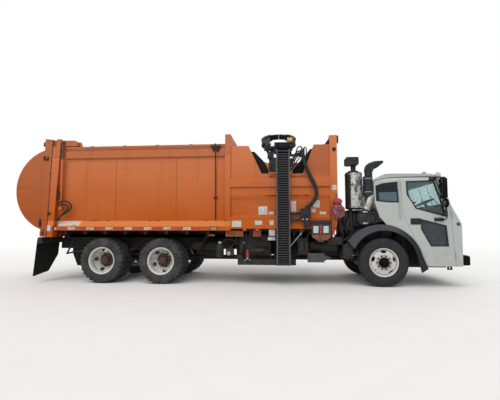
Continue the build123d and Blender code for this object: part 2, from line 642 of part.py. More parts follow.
def air_intake():
    """Intake pipe with its duckbill snout, dust bowl, slanting down pipe and the filter drum."""
    x, y = 3106.0, -BODY_HALF_W + 130
    intake = rod_z(x, y, 106, 1960, 2393) + rod_z(x + 18, y, 84, 2390, 2560)
    snout = side_plate((
        (3042, 2500), (3052, 2600), (3085, 2660), (3129, 2691), (3254, 2732), (3429, 2740),
        (3438, 2697), (3311, 2591), (3229, 2560), (3208, 2500),
    ), y - 78, y + 78)
    intake += chamfer(snout.edges().filter_by(Axis.Y, reverse=True), 14)
    intake += side_plate(((3050, 1965), (3190, 1965), (3150, 1640), (3000, 1640)), y - 62, y + 62)
    drum = rod_y(3016, 1483, 170, y - 30, y + 530)
    intake += chamfer(drum.edges().filter_by(GeomType.CIRCLE), 12)
    intake += block(2930, 3090, y + 230, -RAIL_Y + 60, 1250, 1340)
    intake += block(3000, 3060, -RAIL_Y, -RAIL_Y + 60, RAIL_TOP, 1340)
    return intake


def arm_base():
    """Sleeve under the chassis that the reach beam runs in, with its hangers and side girders."""
    z0, z1 = BEAM_Z
    girder = SLEEVE_END + 220
    outer = block(MAST_X - 170, MAST_X + 170, SLEEVE_END, -260, z0 - 30, z1 + 30)
    bore = block(MAST_X - 155, MAST_X + 155, SLEEVE_END - 10, -250, z0 - 15, z1 + 15)
    base = outer - bore
    base += block(MAST_X - 240, MAST_X - 170, -RAIL_Y - 40, -RAIL_Y + RAIL_W, z0 - 20, RAIL_TOP - RAIL_H)
    base += block(MAST_X + 170, MAST_X + 240, -RAIL_Y - 40, -RAIL_Y + RAIL_W, z0 - 20, RAIL_TOP - RAIL_H)
    base += block(MAST_X - 170, MAST_X + 170, -RAIL_Y - 40, -RAIL_Y + RAIL_W, z1 + 25, RAIL_TOP - RAIL_H)
    base += block(213, MAST_X - 170, girder - 100, girder, 435, 560)
    base += block(MAST_X + 170, 1520, girder - 100, girder, 435, 560)
    base += block(213, 313, girder - 100, -400, 560, 660)
    base += block(213, 313, -RAIL_Y, -RAIL_Y + 60, 560, RAIL_TOP - RAIL_H)
    return base


def reach_beam():
    z0, z1 = BEAM_Z
    slip = SEAT_SLIP
    end = SLEEVE_END + 10
    tube = block(MAST_X - 145, MAST_X + 145, SLEEVE_END - 10, -290, z0, z1)
    tube -= block(MAST_X - 133, MAST_X + 133, SLEEVE_END - 20, -280, z0 + 12, z1 - 12)
    pads = block(MAST_X - 155 + slip, MAST_X - 145, end, -310, z0 + 40, z1 - 40)
    pads += block(MAST_X + 145, MAST_X + 155 - slip, end, -310, z0 + 40, z1 - 40)
    pads += block(MAST_X - 90, MAST_X + 90, end, -310, z0 - 15 + slip, z0)
    pads += block(MAST_X - 90, MAST_X + 90, end, -310, z1, z1 + 15 - slip)
    return tube + pads


def lift_mast():
    """Ladder track with its foot beam, the hose box bracket and the head pivots."""
    z0, z1 = MAST_Z
    y0, y1 = MAST_Y - MAST_T / 2, MAST_Y + MAST_T / 2
    rail = block(MAST_X - MAST_HALF, MAST_X - MAST_HALF + 30, y0, y1, z0, z1)
    mast = rail + mirror(rail, about=Plane.YZ.offset(MAST_X))
    rungs = 46
    pitch = (z1 - z0 - 60) / rungs
    for index in range(rungs + 1):
        z = z0 + 30 + pitch * index
        mast += block(MAST_X - MAST_HALF + 25, MAST_X + MAST_HALF - 25, y0 + 10, y0 + 34, z - 11, z + 11)
    mast += block(MAST_X - MAST_HALF + 25, MAST_X + MAST_HALF - 25, y1 - 10, y1, z0, z1 + 30)
    b0, b1 = BEAM_Z
    slip = SEAT_SLIP
    foot = block(MAST_X - 123, MAST_X + 123, y1 - 5, -320, b0 + 22, b1 - 22)
    foot += block(MAST_X - 133 + slip, MAST_X + 133 - slip, SLEEVE_END, -340, b0 + 60, b1 - 60)
    foot += block(MAST_X - 80, MAST_X + 80, SLEEVE_END, -340, b0 + 12 + slip, b1 - 12 - slip)
    mast += foot
    x0 = MAST_X - MAST_HALF
    clear_x, clear_z = x0 - CHEEK_OUT - DRIVE_CLEAR, HEAD_Z - CHEEK_SWEEP - DRIVE_CLEAR
    drive = side_plate((
        (x0 + 5, HEAD_Z - 460), (x0 - 85, HEAD_Z - 420), (x0 - 105, HEAD_Z - 320), (x0 - 105, HEAD_Z - 15),
        (clear_x, HEAD_Z - 15),
        (clear_x, clear_z), (x0 + 5, clear_z),
    ), y0, y1 - 10)
    mast += drive + rod_y(x0 - 50, HEAD_Z - 260, 62, y0 - 22, y1)
    ear = block(MAST_X - MAST_HALF, MAST_X - MAST_HALF + 30, y0, y1, z1 - 5, HEAD_Z + 35)
    mast += ear + mirror(ear, about=Plane.YZ.offset(MAST_X))
    mast += rod_x(MAST_Y, HEAD_Z, 22, MAST_X - MAST_HALF - CHEEK_OUT, MAST_X + MAST_HALF + CHEEK_OUT)
    mast += block(MAST_X + MAST_HALF - 5, 1830, y1 - 15, y1, 1540, 1610)
    mast += block(1615, 1829, y0 - 10, y1 - 10, 1473, 1687)
    mast += block(MAST_X + MAST_HALF - 5, 1700, y1 - 15, y1, HEAD_Z - 120, HEAD_Z - 60)
    mast += block(1640, 1720, y0, y1 - 10, HEAD_Z - 105, HEAD_Z + 30)
    mast += gland(HOSE[0], HOSE[1], 60) + gland(HOSE[-1], HOSE[-2], 70)
    return mast


def tipped(shape):
    """Turn a piece drawn in the gripping pose about the head pivot to where it rests."""
    pivot = Pos(0, MAST_Y, HEAD_Z)
    return pivot * Rot(-ROLL, 0, 0) * shape


def roll_head():
    """Cheeks that turn on the head pins and guide the carriage; drawn in the gripping pose."""
    cheek = rod_x(0, 0, 60, MAST_X - MAST_HALF - CHEEK_OUT, MAST_X - MAST_HALF - 6)
    cheek += block(MAST_X - MAST_HALF - CHEEK_OUT, MAST_X - MAST_HALF - 6, -112, -20, -130, 60)
    cheek -= rod_x(0, 0, 22 + RUN, MAST_X - MAST_HALF - 60, MAST_X - MAST_HALF + 10)
    head = cheek + mirror(cheek, about=Plane.YZ.offset(MAST_X))
    head += block(MAST_X - MAST_HALF - CHEEK_OUT, MAST_X + MAST_HALF + CHEEK_OUT, -112, -92, -130, 60)
    return tipped(head)


def carriage():
    """Carriage plate and the gripper's root beam; drawn in the gripping pose."""
    x0, x1 = MAST_X - MAST_HALF - CHEEK_OUT, MAST_X + MAST_HALF + CHEEK_OUT
    plate = block(x0, x1, -140, -112 - SEAT_SLIP, -160, 120)
    beam = block(GRIP_X - FINGER_PIN_X - 60, GRIP_X + FINGER_PIN_X + 60, -GRIP_BASE - 30, -130, -45, 45)
    for x in (GRIP_X - FINGER_PIN_X, GRIP_X + FINGER_PIN_X):
        beam += rod_z(x, -GRIP_BASE - 30, 42, -45, 45)
        beam += rod_z(x, -GRIP_BASE - 30, 18, -75, 75)
    return tipped(plate + beam)


def finger(side):
    """A curved band that closes half the ring; side is -1 for the rear one."""
    pin_x = GRIP_X + side * FINGER_PIN_X
    pin_y = -GRIP_BASE - 30
    centre_y = -GRIP_BASE - GRIP_HALF
    ring = rod_z(GRIP_X, centre_y, GRIP_HALF, -BAND_H / 2, BAND_H / 2)
    ring -= rod_z(GRIP_X, centre_y, GRIP_HALF - BAND_T, -BAND_H, BAND_H)
    edge = GRIP_X + side * TIP_GAP / 2
    far = GRIP_X + side * (GRIP_HALF + BAND_T)
    reach_y = centre_y - GRIP_HALF - BAND_T
    half = ring & block(min(edge, far), max(edge, far), reach_y, pin_y - 62, -BAND_H, BAND_H)
    knuckles = rod_z(pin_x, pin_y, 40, 45 + SEAT_SLIP, 72) + rod_z(pin_x, pin_y, 40, -72, -45 - SEAT_SLIP)
    x0 = pin_x - 30
    knuckles += block(x0, x0 + 60, pin_y - 130, pin_y, 45 + SEAT_SLIP, 72)
    knuckles += block(x0, x0 + 60, pin_y - 130, pin_y, -72, -45 - SEAT_SLIP)
    knuckles += block(x0, x0 + 60, pin_y - 130, pin_y - 62, -72, 72)
    half += knuckles
    half -= rod_z(pin_x, pin_y, 18 + RUN, -80, 80)
    return tipped(half)


HOSE_D = 85.0
HOSE = (
    (1683, -1300, 2835), (1702, -1302, 2750), (1745, -1306, 2600), (1825, -1310, 2405),
    (1915, -1312, 2240), (1972, -1312, 2065), (1960, -1310, 1930), (1880, -1306, 1808), (1787, -1302, 1726),
)
GLAND_R = 50.0


def gland(end, before, reach):
    """Round collar on the line of the hose's last run, from the hose's end inwards."""
    line = (Vector(*end) - Vector(*before)).normalized()
    return Plane(origin=Vector(*end), z_dir=line) * Pos(0, 0, reach / 2) * Cylinder(GLAND_R, reach)


def cord_radii(points):
    """The largest arcs that the runs on both sides of each corner leave room for."""
    radii = []
    for before, here, after in zip(points, points[1:], points[2:]):
        run_in = Vector(*here) - Vector(*before)
        run_out = Vector(*after) - Vector(*here)
        half_turn = math.radians(run_in.get_angle(run_out)) / 2
        radii.append(0.45 * min(run_in.length, run_out.length) / math.tan(half_turn))
    return radii


def cord_tube(name, points, diameter):
    radii = cord_radii(points)
    path = FilletPolyline(*points, radius=radii)
    start = Plane(origin=path @ 0, z_dir=path % 0)
    tube = sweep(start * Circle(diameter / 2), path=path)
    expected = math.pi * diameter ** 2 / 4 * path.length
    print(name, "radii", [round(r) for r in radii], "length", round(path.length),
          "volume ratio", round(tube.volume / expected, 4))
    return tube


def side_tanks():
    """Fuel tank and battery box on the road side, on brackets from the frame rail."""
    tank = block(300, 1500, 480, 1120, 560, 1000) + block(1750, 2250, 480, 1100, 620, 1000)
    for x in (370, 1430, 1850, 2150):
        tank += block(x - 50, x + 50, RAIL_Y, 490, 760, 960)
    return tank


def valve_boxes():
    """Valve box outside the hopper, ribbed box low down and work lamp, each on its hanger."""
    face = -BODY_HALF_W
    rail = -RAIL_Y
    valves = block(1854, 2260, face - 100, face - 5, 1116, 1353)
    valves += block(1980, 2120, face - 30, face - 12, 960, 1120)
    valves += block(1980, 2120, face - 30, rail, 960, 1010)
    ribbed = block(1782, 2138, face + 120, face + 320, 508, 706)
    ribbed += block(1850, 2050, face + 319, rail, 640, 700) + block(1850, 2050, rail - 40, rail, 640, 900)
    lamp = block(914, 1073, face + 50, face + 135, 987, 1241)
    lamp += block(940, 1040, face + 120, rail, 1030, 1100)
    return valves + ribbed + lamp


FLAP_T = 12.0
FLAP_RAKE = 5.0


def mud_flaps():
    """Raked flaps on the tail bar, their inner corners cut off, and guards ahead of the twin axles."""
    x, top, out = TAIL_BAR_X - SEAT_SLIP, RAIL_TOP - 5, -BODY_HALF_W + 30
    edge = -330
    sheet = section_bar(((out, top), (edge, top), (edge, 590), (-640, 200), (out, 132)), -FLAP_T, 0)
    rear = Pos(x, 0, top) * Rot(0, FLAP_RAKE, 0) * Pos(0, 0, -top) * sheet
    rear += block(x - FLAP_T, x, out, edge, 900, top)
    low = FLOOR_TOP - FLOOR_T - 70 - SEAT_SLIP
    guard = side_plate(((-464 - FLAP_T, low), (-464, low), (-688, 690), (-688 - FLAP_T, 690)), out, -560)
    return both_sides(rear) + both_sides(guard)


def body_lamps():
    amber = block(-380, -240, -BODY_HALF_W - 8, -BODY_HALF_W - SEAT_SLIP, 1215, 1290)
    return both_sides(amber)


def gate_lamps():
    red = block(RING_LOW[0] - 20, RING_LOW[0] - SEAT_SLIP, -BODY_HALF_W + 20, -BODY_HALF_W + 220, 1080, 1180)
    return both_sides(red)


def strapped_bag():
    """Bag hung on the hopper's front post, with a narrower top."""
    y = -BODY_HALF_W - SEAT_SLIP - 90
    bag = block(2253, 2573, y - 90, y + 90, 1458, 1790)
    return chamfer(bag.edges(), 30) + rod_z(2410, y, 84, 1780, 1905)


def build():
    os.makedirs("parts", exist_ok=True)
    pieces = {
        "chassis_frame": chassis_frame(),
        "body_floor": body_floor(),
        "body_side_right": body_side(),
        "body_side_left": other_side(body_side()),
        "body_roof": body_roof(),
        "hopper_side_right": hopper_side(True),
        "hopper_side_left": other_side(hopper_side(False)),
        "hopper_front": hopper_front(),
        "notch_guards": notch_guards(),
        "tailgate": tailgate(),
        "gate_lamps": gate_lamps(),
        "lift_barrels": lift_barrels(),
        "lift_rods": lift_rods(),
        "packer_blade": packer_blade(),
        "cab_glass": cab_glass(),
        "cab_interior": cab_interior(),
        "fenders": both_sides(fender()),
        "bumper": bumper(),
        "front_axle": front_axle(),
        "rear_axles": rear_axles(),
        "engine_block": engine_block(),
        "exhaust_stack": exhaust_stack(),
        "air_intake": air_intake(),
        "arm_base": arm_base(),
        "side_tanks": side_tanks(),
        "valve_boxes": valve_boxes(),
        "mud_flaps": mud_flaps(),
        "body_lamps": body_lamps(),
        "strapped_bag": strapped_bag(),
        "reach_beam": reach_beam(),
        "lift_mast": lift_mast(),
        "roll_head": roll_head(),
        "carriage": carriage(),
        "finger_rear": finger(-1),
        "finger_front": finger(1),
        "hose_bundle": cord_tube("hose_bundle", HOSE, HOSE_D),
    }
    back, roof, front, floor, door = cab_pieces()
    pieces.update({"cab_back": back, "cab_roof": roof, "cab_front": front, "cab_floor": floor})
    for side, name in ((-1, "right"), (1, "left")):
        place = (lambda shape: shape) if side < 0 else other_side
        pieces["door_" + name] = place(door + mirrors())
        pieces["door_glass_" + name] = place(door_glass())
        pieces["knuckle_" + name] = place(knuckle())
        pieces["steer_tyre_" + name] = on_axle(tyre(STEER_TYRE_R, STEER_TYRE_W, STEER_RIM_W), STEER_AXLE_X,
                                               side * STEER_Y, STEER_TYRE_R)
        pieces["steer_wheel_" + name] = on_axle(steer_wheel_disc(), STEER_AXLE_X, side * STEER_Y,
                                                STEER_TYRE_R)
        for axle_x, row in zip(REAR_AXLES_X, ("rear", "mid")):
            single = tyre(REAR_TYRE_R, REAR_TYRE_W, REAR_RIM_W)
            twin = single + Pos(0, 0, -DUAL_SPACING) * single
            pieces[f"{row}_tyres_{name}"] = on_axle(twin, axle_x, side * DUAL_OUTER_Y, REAR_TYRE_R)
            pieces[f"{row}_wheels_{name}"] = on_axle(rear_wheel_pair(), axle_x, side * DUAL_OUTER_Y,
                                                     REAR_TYRE_R)
    for name, shape in pieces.items():
        export_step(shape, f"parts/{name}.step")


build()
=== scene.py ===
import math

import bmesh
import bpy
from mathutils import Matrix, Vector, noise


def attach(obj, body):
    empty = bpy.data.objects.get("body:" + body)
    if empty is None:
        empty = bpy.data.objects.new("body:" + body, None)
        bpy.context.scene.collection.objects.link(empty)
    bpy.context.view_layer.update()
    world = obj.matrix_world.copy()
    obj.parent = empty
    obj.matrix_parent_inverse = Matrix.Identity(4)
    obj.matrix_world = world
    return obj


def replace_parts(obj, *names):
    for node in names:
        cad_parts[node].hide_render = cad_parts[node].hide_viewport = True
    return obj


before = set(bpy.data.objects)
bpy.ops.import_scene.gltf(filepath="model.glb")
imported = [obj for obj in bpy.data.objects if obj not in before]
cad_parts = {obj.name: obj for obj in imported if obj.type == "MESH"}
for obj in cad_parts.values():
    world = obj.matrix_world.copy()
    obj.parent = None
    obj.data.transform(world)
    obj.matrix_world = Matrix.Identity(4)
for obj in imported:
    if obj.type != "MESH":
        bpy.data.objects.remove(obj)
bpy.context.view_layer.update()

# Places that the construction gives, in metres
BODY_SIDE = 1.22
SHEET_SIDE = 1.105
# What seats on another piece stands this far off it
CLEAR = 0.0003
REAR_AXLES = {"rear": -2.928, "mid": -1.531}
REAR_RADIUS = 0.515
REAR_WIDTH = 0.279
TWIN_OUTER = 1.075
TWIN_SPACING = 0.34
STEER_X = 3.395
STEER_Y = 1.03
STEER_RADIUS = 0.522
STEER_WIDTH = 0.315
BEAD = 0.2903
MAST_X = 1.245
MAST_EDGE = 1.3953
HEAD_Z = 2.96
ROLL = math.radians(147)
GRIP_X, GRIP_Y = 1.145, -0.585
SILENCER_X, SILENCER_Y = 2.815, -1.0
BAG_X, BAG_Y = 2.412, -1.311
CAB_SIDE = 1.2
DOOR_WINDOW = ((3.914, 1.99), (3.912, 2.262), (4.47, 2.275), (4.618, 1.75), (4.683, 1.52), (4.083, 1.692),
               (4.05, 1.75))
LOWER_WINDOW = ((4.181, 1.436), (4.673, 1.304), (4.705, 0.893), (4.368, 0.891), (4.184, 1.243))
QUARTER_WINDOW = ((3.272, 2.17), (3.4, 2.215), (3.693, 2.247), (3.704, 1.836), (3.5, 1.838), (3.272, 1.868))
SIDES = {"right": -1, "left": 1}

# Colours as linear values
ORANGE = (0.42, 0.078, 0.002)
ORANGE_PALE = (0.54, 0.165, 0.062)
ORANGE_LIT_LEDGE = (0.6, 0.19, 0.045)
ORANGE_DIM = (0.25, 0.062, 0.02)
GRIME_AND_SHADE = (0.07, 0.04, 0.025)
RUST = (0.11, 0.032, 0.012)
RUST_PALE = (0.23, 0.085, 0.035)
CAB_WHITE = (0.415, 0.443, 0.42)
DUST = (0.24, 0.215, 0.18)
BLACK = (0.012, 0.012, 0.013)
STEEL = (0.33, 0.33, 0.335)


class Finish:
    """One material, its nodes added step by step."""

    def __init__(self, name, rough, metal=0.0):
        self.material = bpy.data.materials.new(name)
        self.material.use_nodes = True
        self.nodes = self.material.node_tree.nodes
        self.links = self.material.node_tree.links
        self.shader = self.nodes["Principled BSDF"]
        self.set("Roughness", rough)
        self.set("Metallic", metal)

    def set(self, socket, value):
        self.shader.inputs[socket].default_value = value

    def join(self, value, socket):
        """Link an output to a socket, or write a plain value on it."""
        if isinstance(value, bpy.types.NodeSocket):
            self.links.new(value, socket)
        elif isinstance(value, tuple) and len(socket.default_value) == 4:
            socket.default_value = (*value, 1.0)
        else:
            socket.default_value = value

    def coords(self, stretch=(1, 1, 1), turn=(0, 0, 0), output="Object"):
        source = self.nodes.new("ShaderNodeTexCoord")
        mapping = self.nodes.new("ShaderNodeMapping")
        mapping.inputs["Scale"].default_value = stretch
        mapping.inputs["Rotation"].default_value = turn
        self.links.new(source.outputs[output], mapping.inputs["Vector"])
        return mapping.outputs["Vector"]

    def noise(self, scale, stretch=(1, 1, 1), detail=4.0, rough=0.6):
        node = self.nodes.new("ShaderNodeTexNoise")
        node.inputs["Scale"].default_value = scale
        node.inputs["Detail"].default_value = detail
        node.inputs["Roughness"].default_value = rough
        self.links.new(self.coords(stretch), node.inputs["Vector"])
        return node.outputs["Fac"]

    def cells(self, scale, stretch=(1, 1, 1), place=None):
        node = self.nodes.new("ShaderNodeTexVoronoi")
        node.inputs["Scale"].default_value = scale
        self.links.new(place or self.coords(stretch), node.inputs["Vector"])
        return node.outputs["Distance"]

    def part(self, axis, **place):
        """One coordinate of the surface: X, Y or Z."""
        node = self.nodes.new("ShaderNodeSeparateXYZ")
        self.links.new(self.coords(**place), node.inputs["Vector"])
        return node.outputs[axis]

    def span(self, value, low, high, start=0.0, end=1.0):
        """Take value from low..high to start..end, and hold it outside."""
        node = self.nodes.new("ShaderNodeMapRange")
        node.inputs["From Min"].default_value = low
        node.inputs["From Max"].default_value = high
        node.inputs["To Min"].default_value = start
        node.inputs["To Max"].default_value = end
        self.join(value, node.inputs["Value"])
        return node.outputs["Result"]

    def sum(self, kind, first, second=0.0):
        node = self.nodes.new("ShaderNodeMath")
        node.operation = kind
        self.join(first, node.inputs[0])
        self.join(second, node.inputs[1])
        return node.outputs["Value"]

    def mix(self, amount, first, second):
        node = self.nodes.new("ShaderNodeMix")
        node.data_type = "RGBA"
        self.join(amount, node.inputs[0])
        self.join(first, node.inputs[6])
        self.join(second, node.inputs[7])
        return node.outputs[2]

    def worn_edges(self, radius):
        """Bright where the surface turns sharply, broken up by a fine noise."""
        rounded = self.nodes.new("ShaderNodeBevel")
        rounded.samples = 4
        rounded.inputs["Radius"].default_value = radius
        real = self.nodes.new("ShaderNodeNewGeometry")
        compare = self.nodes.new("ShaderNodeVectorMath")
        compare.operation = "DOT_PRODUCT"
        self.links.new(rounded.outputs["Normal"], compare.inputs[0])
        self.links.new(real.outputs["Normal"], compare.inputs[1])
        turned = self.span(compare.outputs["Value"], 1.0, 5 / 6)
        broken = self.span(self.noise(18, detail=6), 0.42, 0.6)
        return self.sum("MULTIPLY", turned, broken)

    def band(self, value, low, high, soft):
        """1 between low and high, falling off over soft on both sides."""
        rise = self.span(value, low - soft, low)
        fall = self.span(value, high, high + soft, 1.0, 0.0)
        return self.sum("MULTIPLY", rise, fall)

    def colour(self, value):
        self.join(value, self.shader.inputs["Base Color"])

    def rough(self, value, low, high):
        self.join(self.span(value, 0.3, 0.7, low, high), self.shader.inputs["Roughness"])

    def relief(self, height, distance, strength=1.0):
        node = self.nodes.new("ShaderNodeBump")
        node.inputs["Distance"].default_value = distance
        node.inputs["Strength"].default_value = strength
        self.join(height, node.inputs["Height"])
        self.links.new(node.outputs["Normal"], self.shader.inputs["Normal"])


def orange_paint(name, ledge=False, rubbed_and_shaded=False, dim=0.0):
    """Sun-faded orange, chalky towards the top, streaked and chipped; a ledge is worn bare, with painted light on its
    sloping top and a painted shade line along the rail; a hopper is rubbed black, with painted shade in its top right
    corner.
    """
    finish = Finish(name, 0.5)
    height = finish.part("Z")
    broad = finish.noise(0.8, detail=3)
    colour = finish.mix(finish.span(height, 1.5, 3.1), ORANGE, ORANGE_PALE)
    colour = finish.mix(finish.span(broad, 0.4, 0.75, 0.0, 0.25), colour, ORANGE_PALE)
    colour = finish.mix(dim, colour, ORANGE_DIM)
    streaks = finish.noise(7.0, stretch=(1, 1, 0.07), detail=6)
    colour = finish.mix(finish.span(streaks, 0.52, 0.8, 0.0, 0.3), colour, GRIME_AND_SHADE)
    scuffs = finish.noise(3.0, stretch=(0.25, 1, 2.5), detail=8)
    colour = finish.mix(finish.span(scuffs, 0.6, 0.78, 0.0, 0.35), colour, GRIME_AND_SHADE)
    if ledge:
        # painted light: the ledge's sloping top, turned up to the sky, is painted a lighter orange
        strip = finish.band(height, 1.3, 1.425, 0.004)
        colour = finish.mix(finish.sum("MULTIPLY", strip, 0.8), colour, ORANGE_LIT_LEDGE)
        along = finish.part("X")
        bare = finish.sum("MULTIPLY", finish.band(along, -4.02, -3.52, 0.06),
                          finish.band(height, 1.315, 1.425, 0.006))
        ragged = finish.span(finish.noise(9, stretch=(0.6, 1, 2), detail=7), 0.36, 0.44)
        colour = finish.mix(finish.sum("MULTIPLY", bare, ragged), colour, (0.52, 0.47, 0.4))
        edge = finish.band(height, 1.422, 1.436, 0.003)
        broken = finish.span(finish.noise(7, stretch=(1, 1, 0.4), detail=6), 0.53, 0.56)
        colour = finish.mix(finish.sum("MULTIPLY", edge, broken), colour, BLACK)
        colour = finish.mix(finish.span(height, 2.9, 2.905, 0.0, 0.3), colour, ORANGE_DIM)
        # painted shade: a dark line along the rail at about 3.1 m stands for the shade under the rail's upper step
        dark_line = finish.sum("MULTIPLY", finish.band(height, 3.098, 3.11, 0.004),
                          finish.band(along, -3.935, -0.06, 0.003))
        colour = finish.mix(finish.sum("MULTIPLY", dark_line, 0.75), colour, GRIME_AND_SHADE)
    if rubbed_and_shaded:
        along = finish.part("X")
        ragged = finish.span(finish.noise(8, stretch=(0.5, 1, 3), detail=7), 0.4, 0.5)
        for low, high, z, tall in ((0.8, 1.1, 1.98, 0.006), (1.4, 1.78, 1.984, 0.008), (0.96, 1.11, 2.412, 0.006),
                                   (1.41, 1.73, 2.41, 0.006)):
            where = finish.sum("MULTIPLY", finish.band(along, low, high, 0.05),
                               finish.band(height, z - tall, z + tall, 0.01))
            colour = finish.mix(finish.sum("MULTIPLY", where, ragged), colour, BLACK)
        # painted shade: the hopper's top right corner is darkened towards ORANGE_DIM, as by a shadow
        corner = finish.sum("MULTIPLY", finish.span(along, 1.45, 1.85), finish.span(height, 2.35, 2.55, 0.0, 0.45))
        colour = finish.mix(corner, colour, ORANGE_DIM)
    chips = finish.span(finish.noise(24, detail=9, rough=0.7), 0.7, 0.725)
    colour = finish.mix(chips, colour, RUST)
    colour = finish.mix(finish.span(finish.worn_edges(0.01), 0.25, 0.9, 0.0, 0.75), colour, RUST_PALE)
    finish.colour(colour)
    finish.rough(broad, 0.4, 0.58)
    fine = finish.noise(90, detail=3)
    dents = finish.noise(2.2, detail=2)
    finish.relief(finish.sum("ADD", finish.sum("MULTIPLY", fine, 0.06), dents), 0.01, 0.5)
    finish.set("Specular IOR Level", 0.18)
    return finish.material


def cab_white_paint(name, mirrors=False):
    """Off-white with a green cast, road film low down and thin dark streaks; what stands off the door is black."""
    finish = Finish(name, 0.38)
    height = finish.part("Z")
    colour = finish.mix(finish.noise(1.4, detail=3), CAB_WHITE, (0.35, 0.378, 0.355))
    film = finish.sum("MULTIPLY", finish.span(height, 1.3, 0.5), finish.span(finish.noise(5, detail=7), 0.35, 0.7))
    colour = finish.mix(finish.sum("MULTIPLY", film, 0.45), colour, DUST)
    streaks = finish.span(finish.noise(11, stretch=(1, 1, 0.06), detail=5), 0.6, 0.8, 0.0, 0.25)
    colour = finish.mix(streaks, colour, DUST)
    colour = finish.mix(finish.span(finish.noise(30, detail=8), 0.72, 0.74), colour, RUST)
    if mirrors:
        outside = finish.sum("ABSOLUTE", finish.part("Y"))
        colour = finish.mix(finish.span(outside, 1.2025, 1.2035), colour, BLACK)
    colour = finish.mix(finish.span(height, 2.34, 2.4, 0.0, 0.75), colour, (0.21, 0.225, 0.22))
    finish.colour(colour)
    finish.rough(finish.noise(6), 0.28, 0.48)
    finish.relief(finish.noise(1.8, detail=1), 0.006, 0.4)
    finish.set("Coat Weight", 0.25)
    finish.set("Coat Roughness", 0.25)
    return finish.material


def grimy_steel(name, base=(0.022, 0.022, 0.024), dust=(0.085, 0.075, 0.062), rust=0.3, rough=0.62):
    """Black-painted steel with road dust and rusty scars."""
    finish = Finish(name, rough)
    cloud = finish.noise(4.5, detail=8)
    colour = finish.mix(finish.span(cloud, 0.42, 0.72, 0.0, 0.8), base, dust)
    scars = finish.span(finish.noise(12, detail=8, rough=0.7), 0.6, 0.68, 0.0, rust)
    colour = finish.mix(scars, colour, RUST)
    colour = finish.mix(finish.span(finish.worn_edges(0.006), 0.2, 0.9, 0.0, 0.45), colour, STEEL)
    finish.colour(colour)
    finish.rough(cloud, rough - 0.12, rough + 0.18)
    finish.relief(finish.noise(45, detail=5), 0.002, 0.6)
    finish.set("Specular IOR Level", 0.3)
    return finish.material


def mast_steel():
    """Track steel: thin bright lines rubbed along the rails, greasy rungs, and painted shade behind them, where the
    back plate is painted black.
    """
    finish = Finish("mast_steel", 0.45, 0.55)
    across = finish.sum("ABSOLUTE", finish.sum("SUBTRACT", finish.part("X"), MAST_X))
    rail = finish.band(across, 0.126, 0.144, 0.002)
    scratched = finish.span(finish.noise(22, stretch=(1, 1, 0.15), detail=8), 0.38, 0.6)
    bright = finish.sum("MULTIPLY", rail, finish.span(scratched, 0.0, 1.0, 0.35, 1.0))
    greasy_and_shade = finish.mix(finish.noise(9, detail=6), (0.024, 0.024, 0.027), (0.06, 0.059, 0.062))
    # painted shade: the back plate behind the rungs is painted black
    greasy_and_shade = finish.mix(finish.span(finish.part("Y"), -1.316, -1.31), greasy_and_shade, (0.006, 0.006, 0.007))
    colour = finish.mix(bright, greasy_and_shade, (0.125, 0.127, 0.135))
    colour = finish.mix(finish.span(across, 0.17, 0.18), colour, (0.016, 0.018, 0.023))
    colour = finish.mix(finish.span(finish.noise(14, detail=8), 0.62, 0.68, 0.0, 0.35), colour, RUST)
    colour = finish.mix(finish.span(finish.worn_edges(0.004), 0.15, 0.8, 0.0, 0.5), colour, (0.22, 0.22, 0.23))
    finish.colour(colour)
    finish.rough(scratched, 0.34, 0.66)
    finish.relief(finish.noise(60, detail=4), 0.001, 0.5)
    return finish.material


def tyre_rubber(name, dusty):
    """Rubber greyed by dust, more so where the noise is high."""
    finish = Finish(name, 0.82)
    where = finish.span(finish.noise(6, detail=8), 0.38, 0.72)
    colour = finish.mix(where, (0.02, 0.021, 0.023), dusty)
    finish.colour(colour)
    finish.rough(finish.noise(12), 0.72, 0.92)
    finish.relief(finish.noise(140, detail=4), 0.0012, 0.7)
    finish.set("Specular IOR Level", 0.35)
    return finish.material


def wheel_paint(name, axle_x, axle_z, hub_r, stain):
    """White wheel paint, chipped on the rim, rust bleeding from the hub and the nuts."""
    finish = Finish(name, 0.5)
    along = finish.sum("SUBTRACT", finish.part("X"), axle_x)
    up = finish.sum("SUBTRACT", finish.part("Z"), axle_z)
    square = finish.sum("ADD", finish.sum("MULTIPLY", along, along), finish.sum("MULTIPLY", up, up))
    radius = finish.sum("SQRT", square)
    ragged = finish.sum("ADD", radius, finish.span(finish.noise(16, detail=7), 0.3, 0.7, -0.035, 0.035))
    white = finish.mix(finish.noise(5, detail=6), (0.62, 0.62, 0.59), (0.44, 0.43, 0.4))
    stained = finish.mix(finish.span(ragged, 0.2, 0.16, 0.0, stain), white, (0.26, 0.16, 0.12))
    hub = finish.mix(finish.noise(24, detail=6), (0.035, 0.022, 0.018), (0.11, 0.045, 0.03))
    colour = finish.mix(finish.span(ragged, hub_r + 0.012, hub_r - 0.004), stained, hub)
    chips = finish.span(finish.noise(34, detail=8, rough=0.7), 0.62, 0.66)
    lip = finish.span(radius, 0.255, 0.3, 0.15, 0.9)
    colour = finish.mix(finish.sum("MULTIPLY", chips, lip), colour, RUST_PALE)
    finish.colour(colour)
    finish.rough(finish.noise(9), 0.4, 0.68)
    finish.relief(finish.noise(50, detail=5), 0.0015, 0.6)
    return finish.material


def window_glass(name, dark, low, high, axis):
    """Thin green glass; below or behind the given line it is painted dark, as painted shade of the dim cab behind it.
    """
    finish = Finish(name, 0.03)
    where = finish.part(axis)
    # painted shade: the glass is darkened below or behind the line
    finish.colour(finish.mix(finish.span(where, low, high), dark, (0.56, 0.68, 0.69)))
    finish.set("Transmission Weight", 0.94)
    finish.set("IOR", 1.12)
    finish.set("Coat Weight", 0.35)
    finish.set("Coat Roughness", 0.05)
    finish.relief(finish.noise(3, detail=1), 0.001, 0.1)
    return finish.material


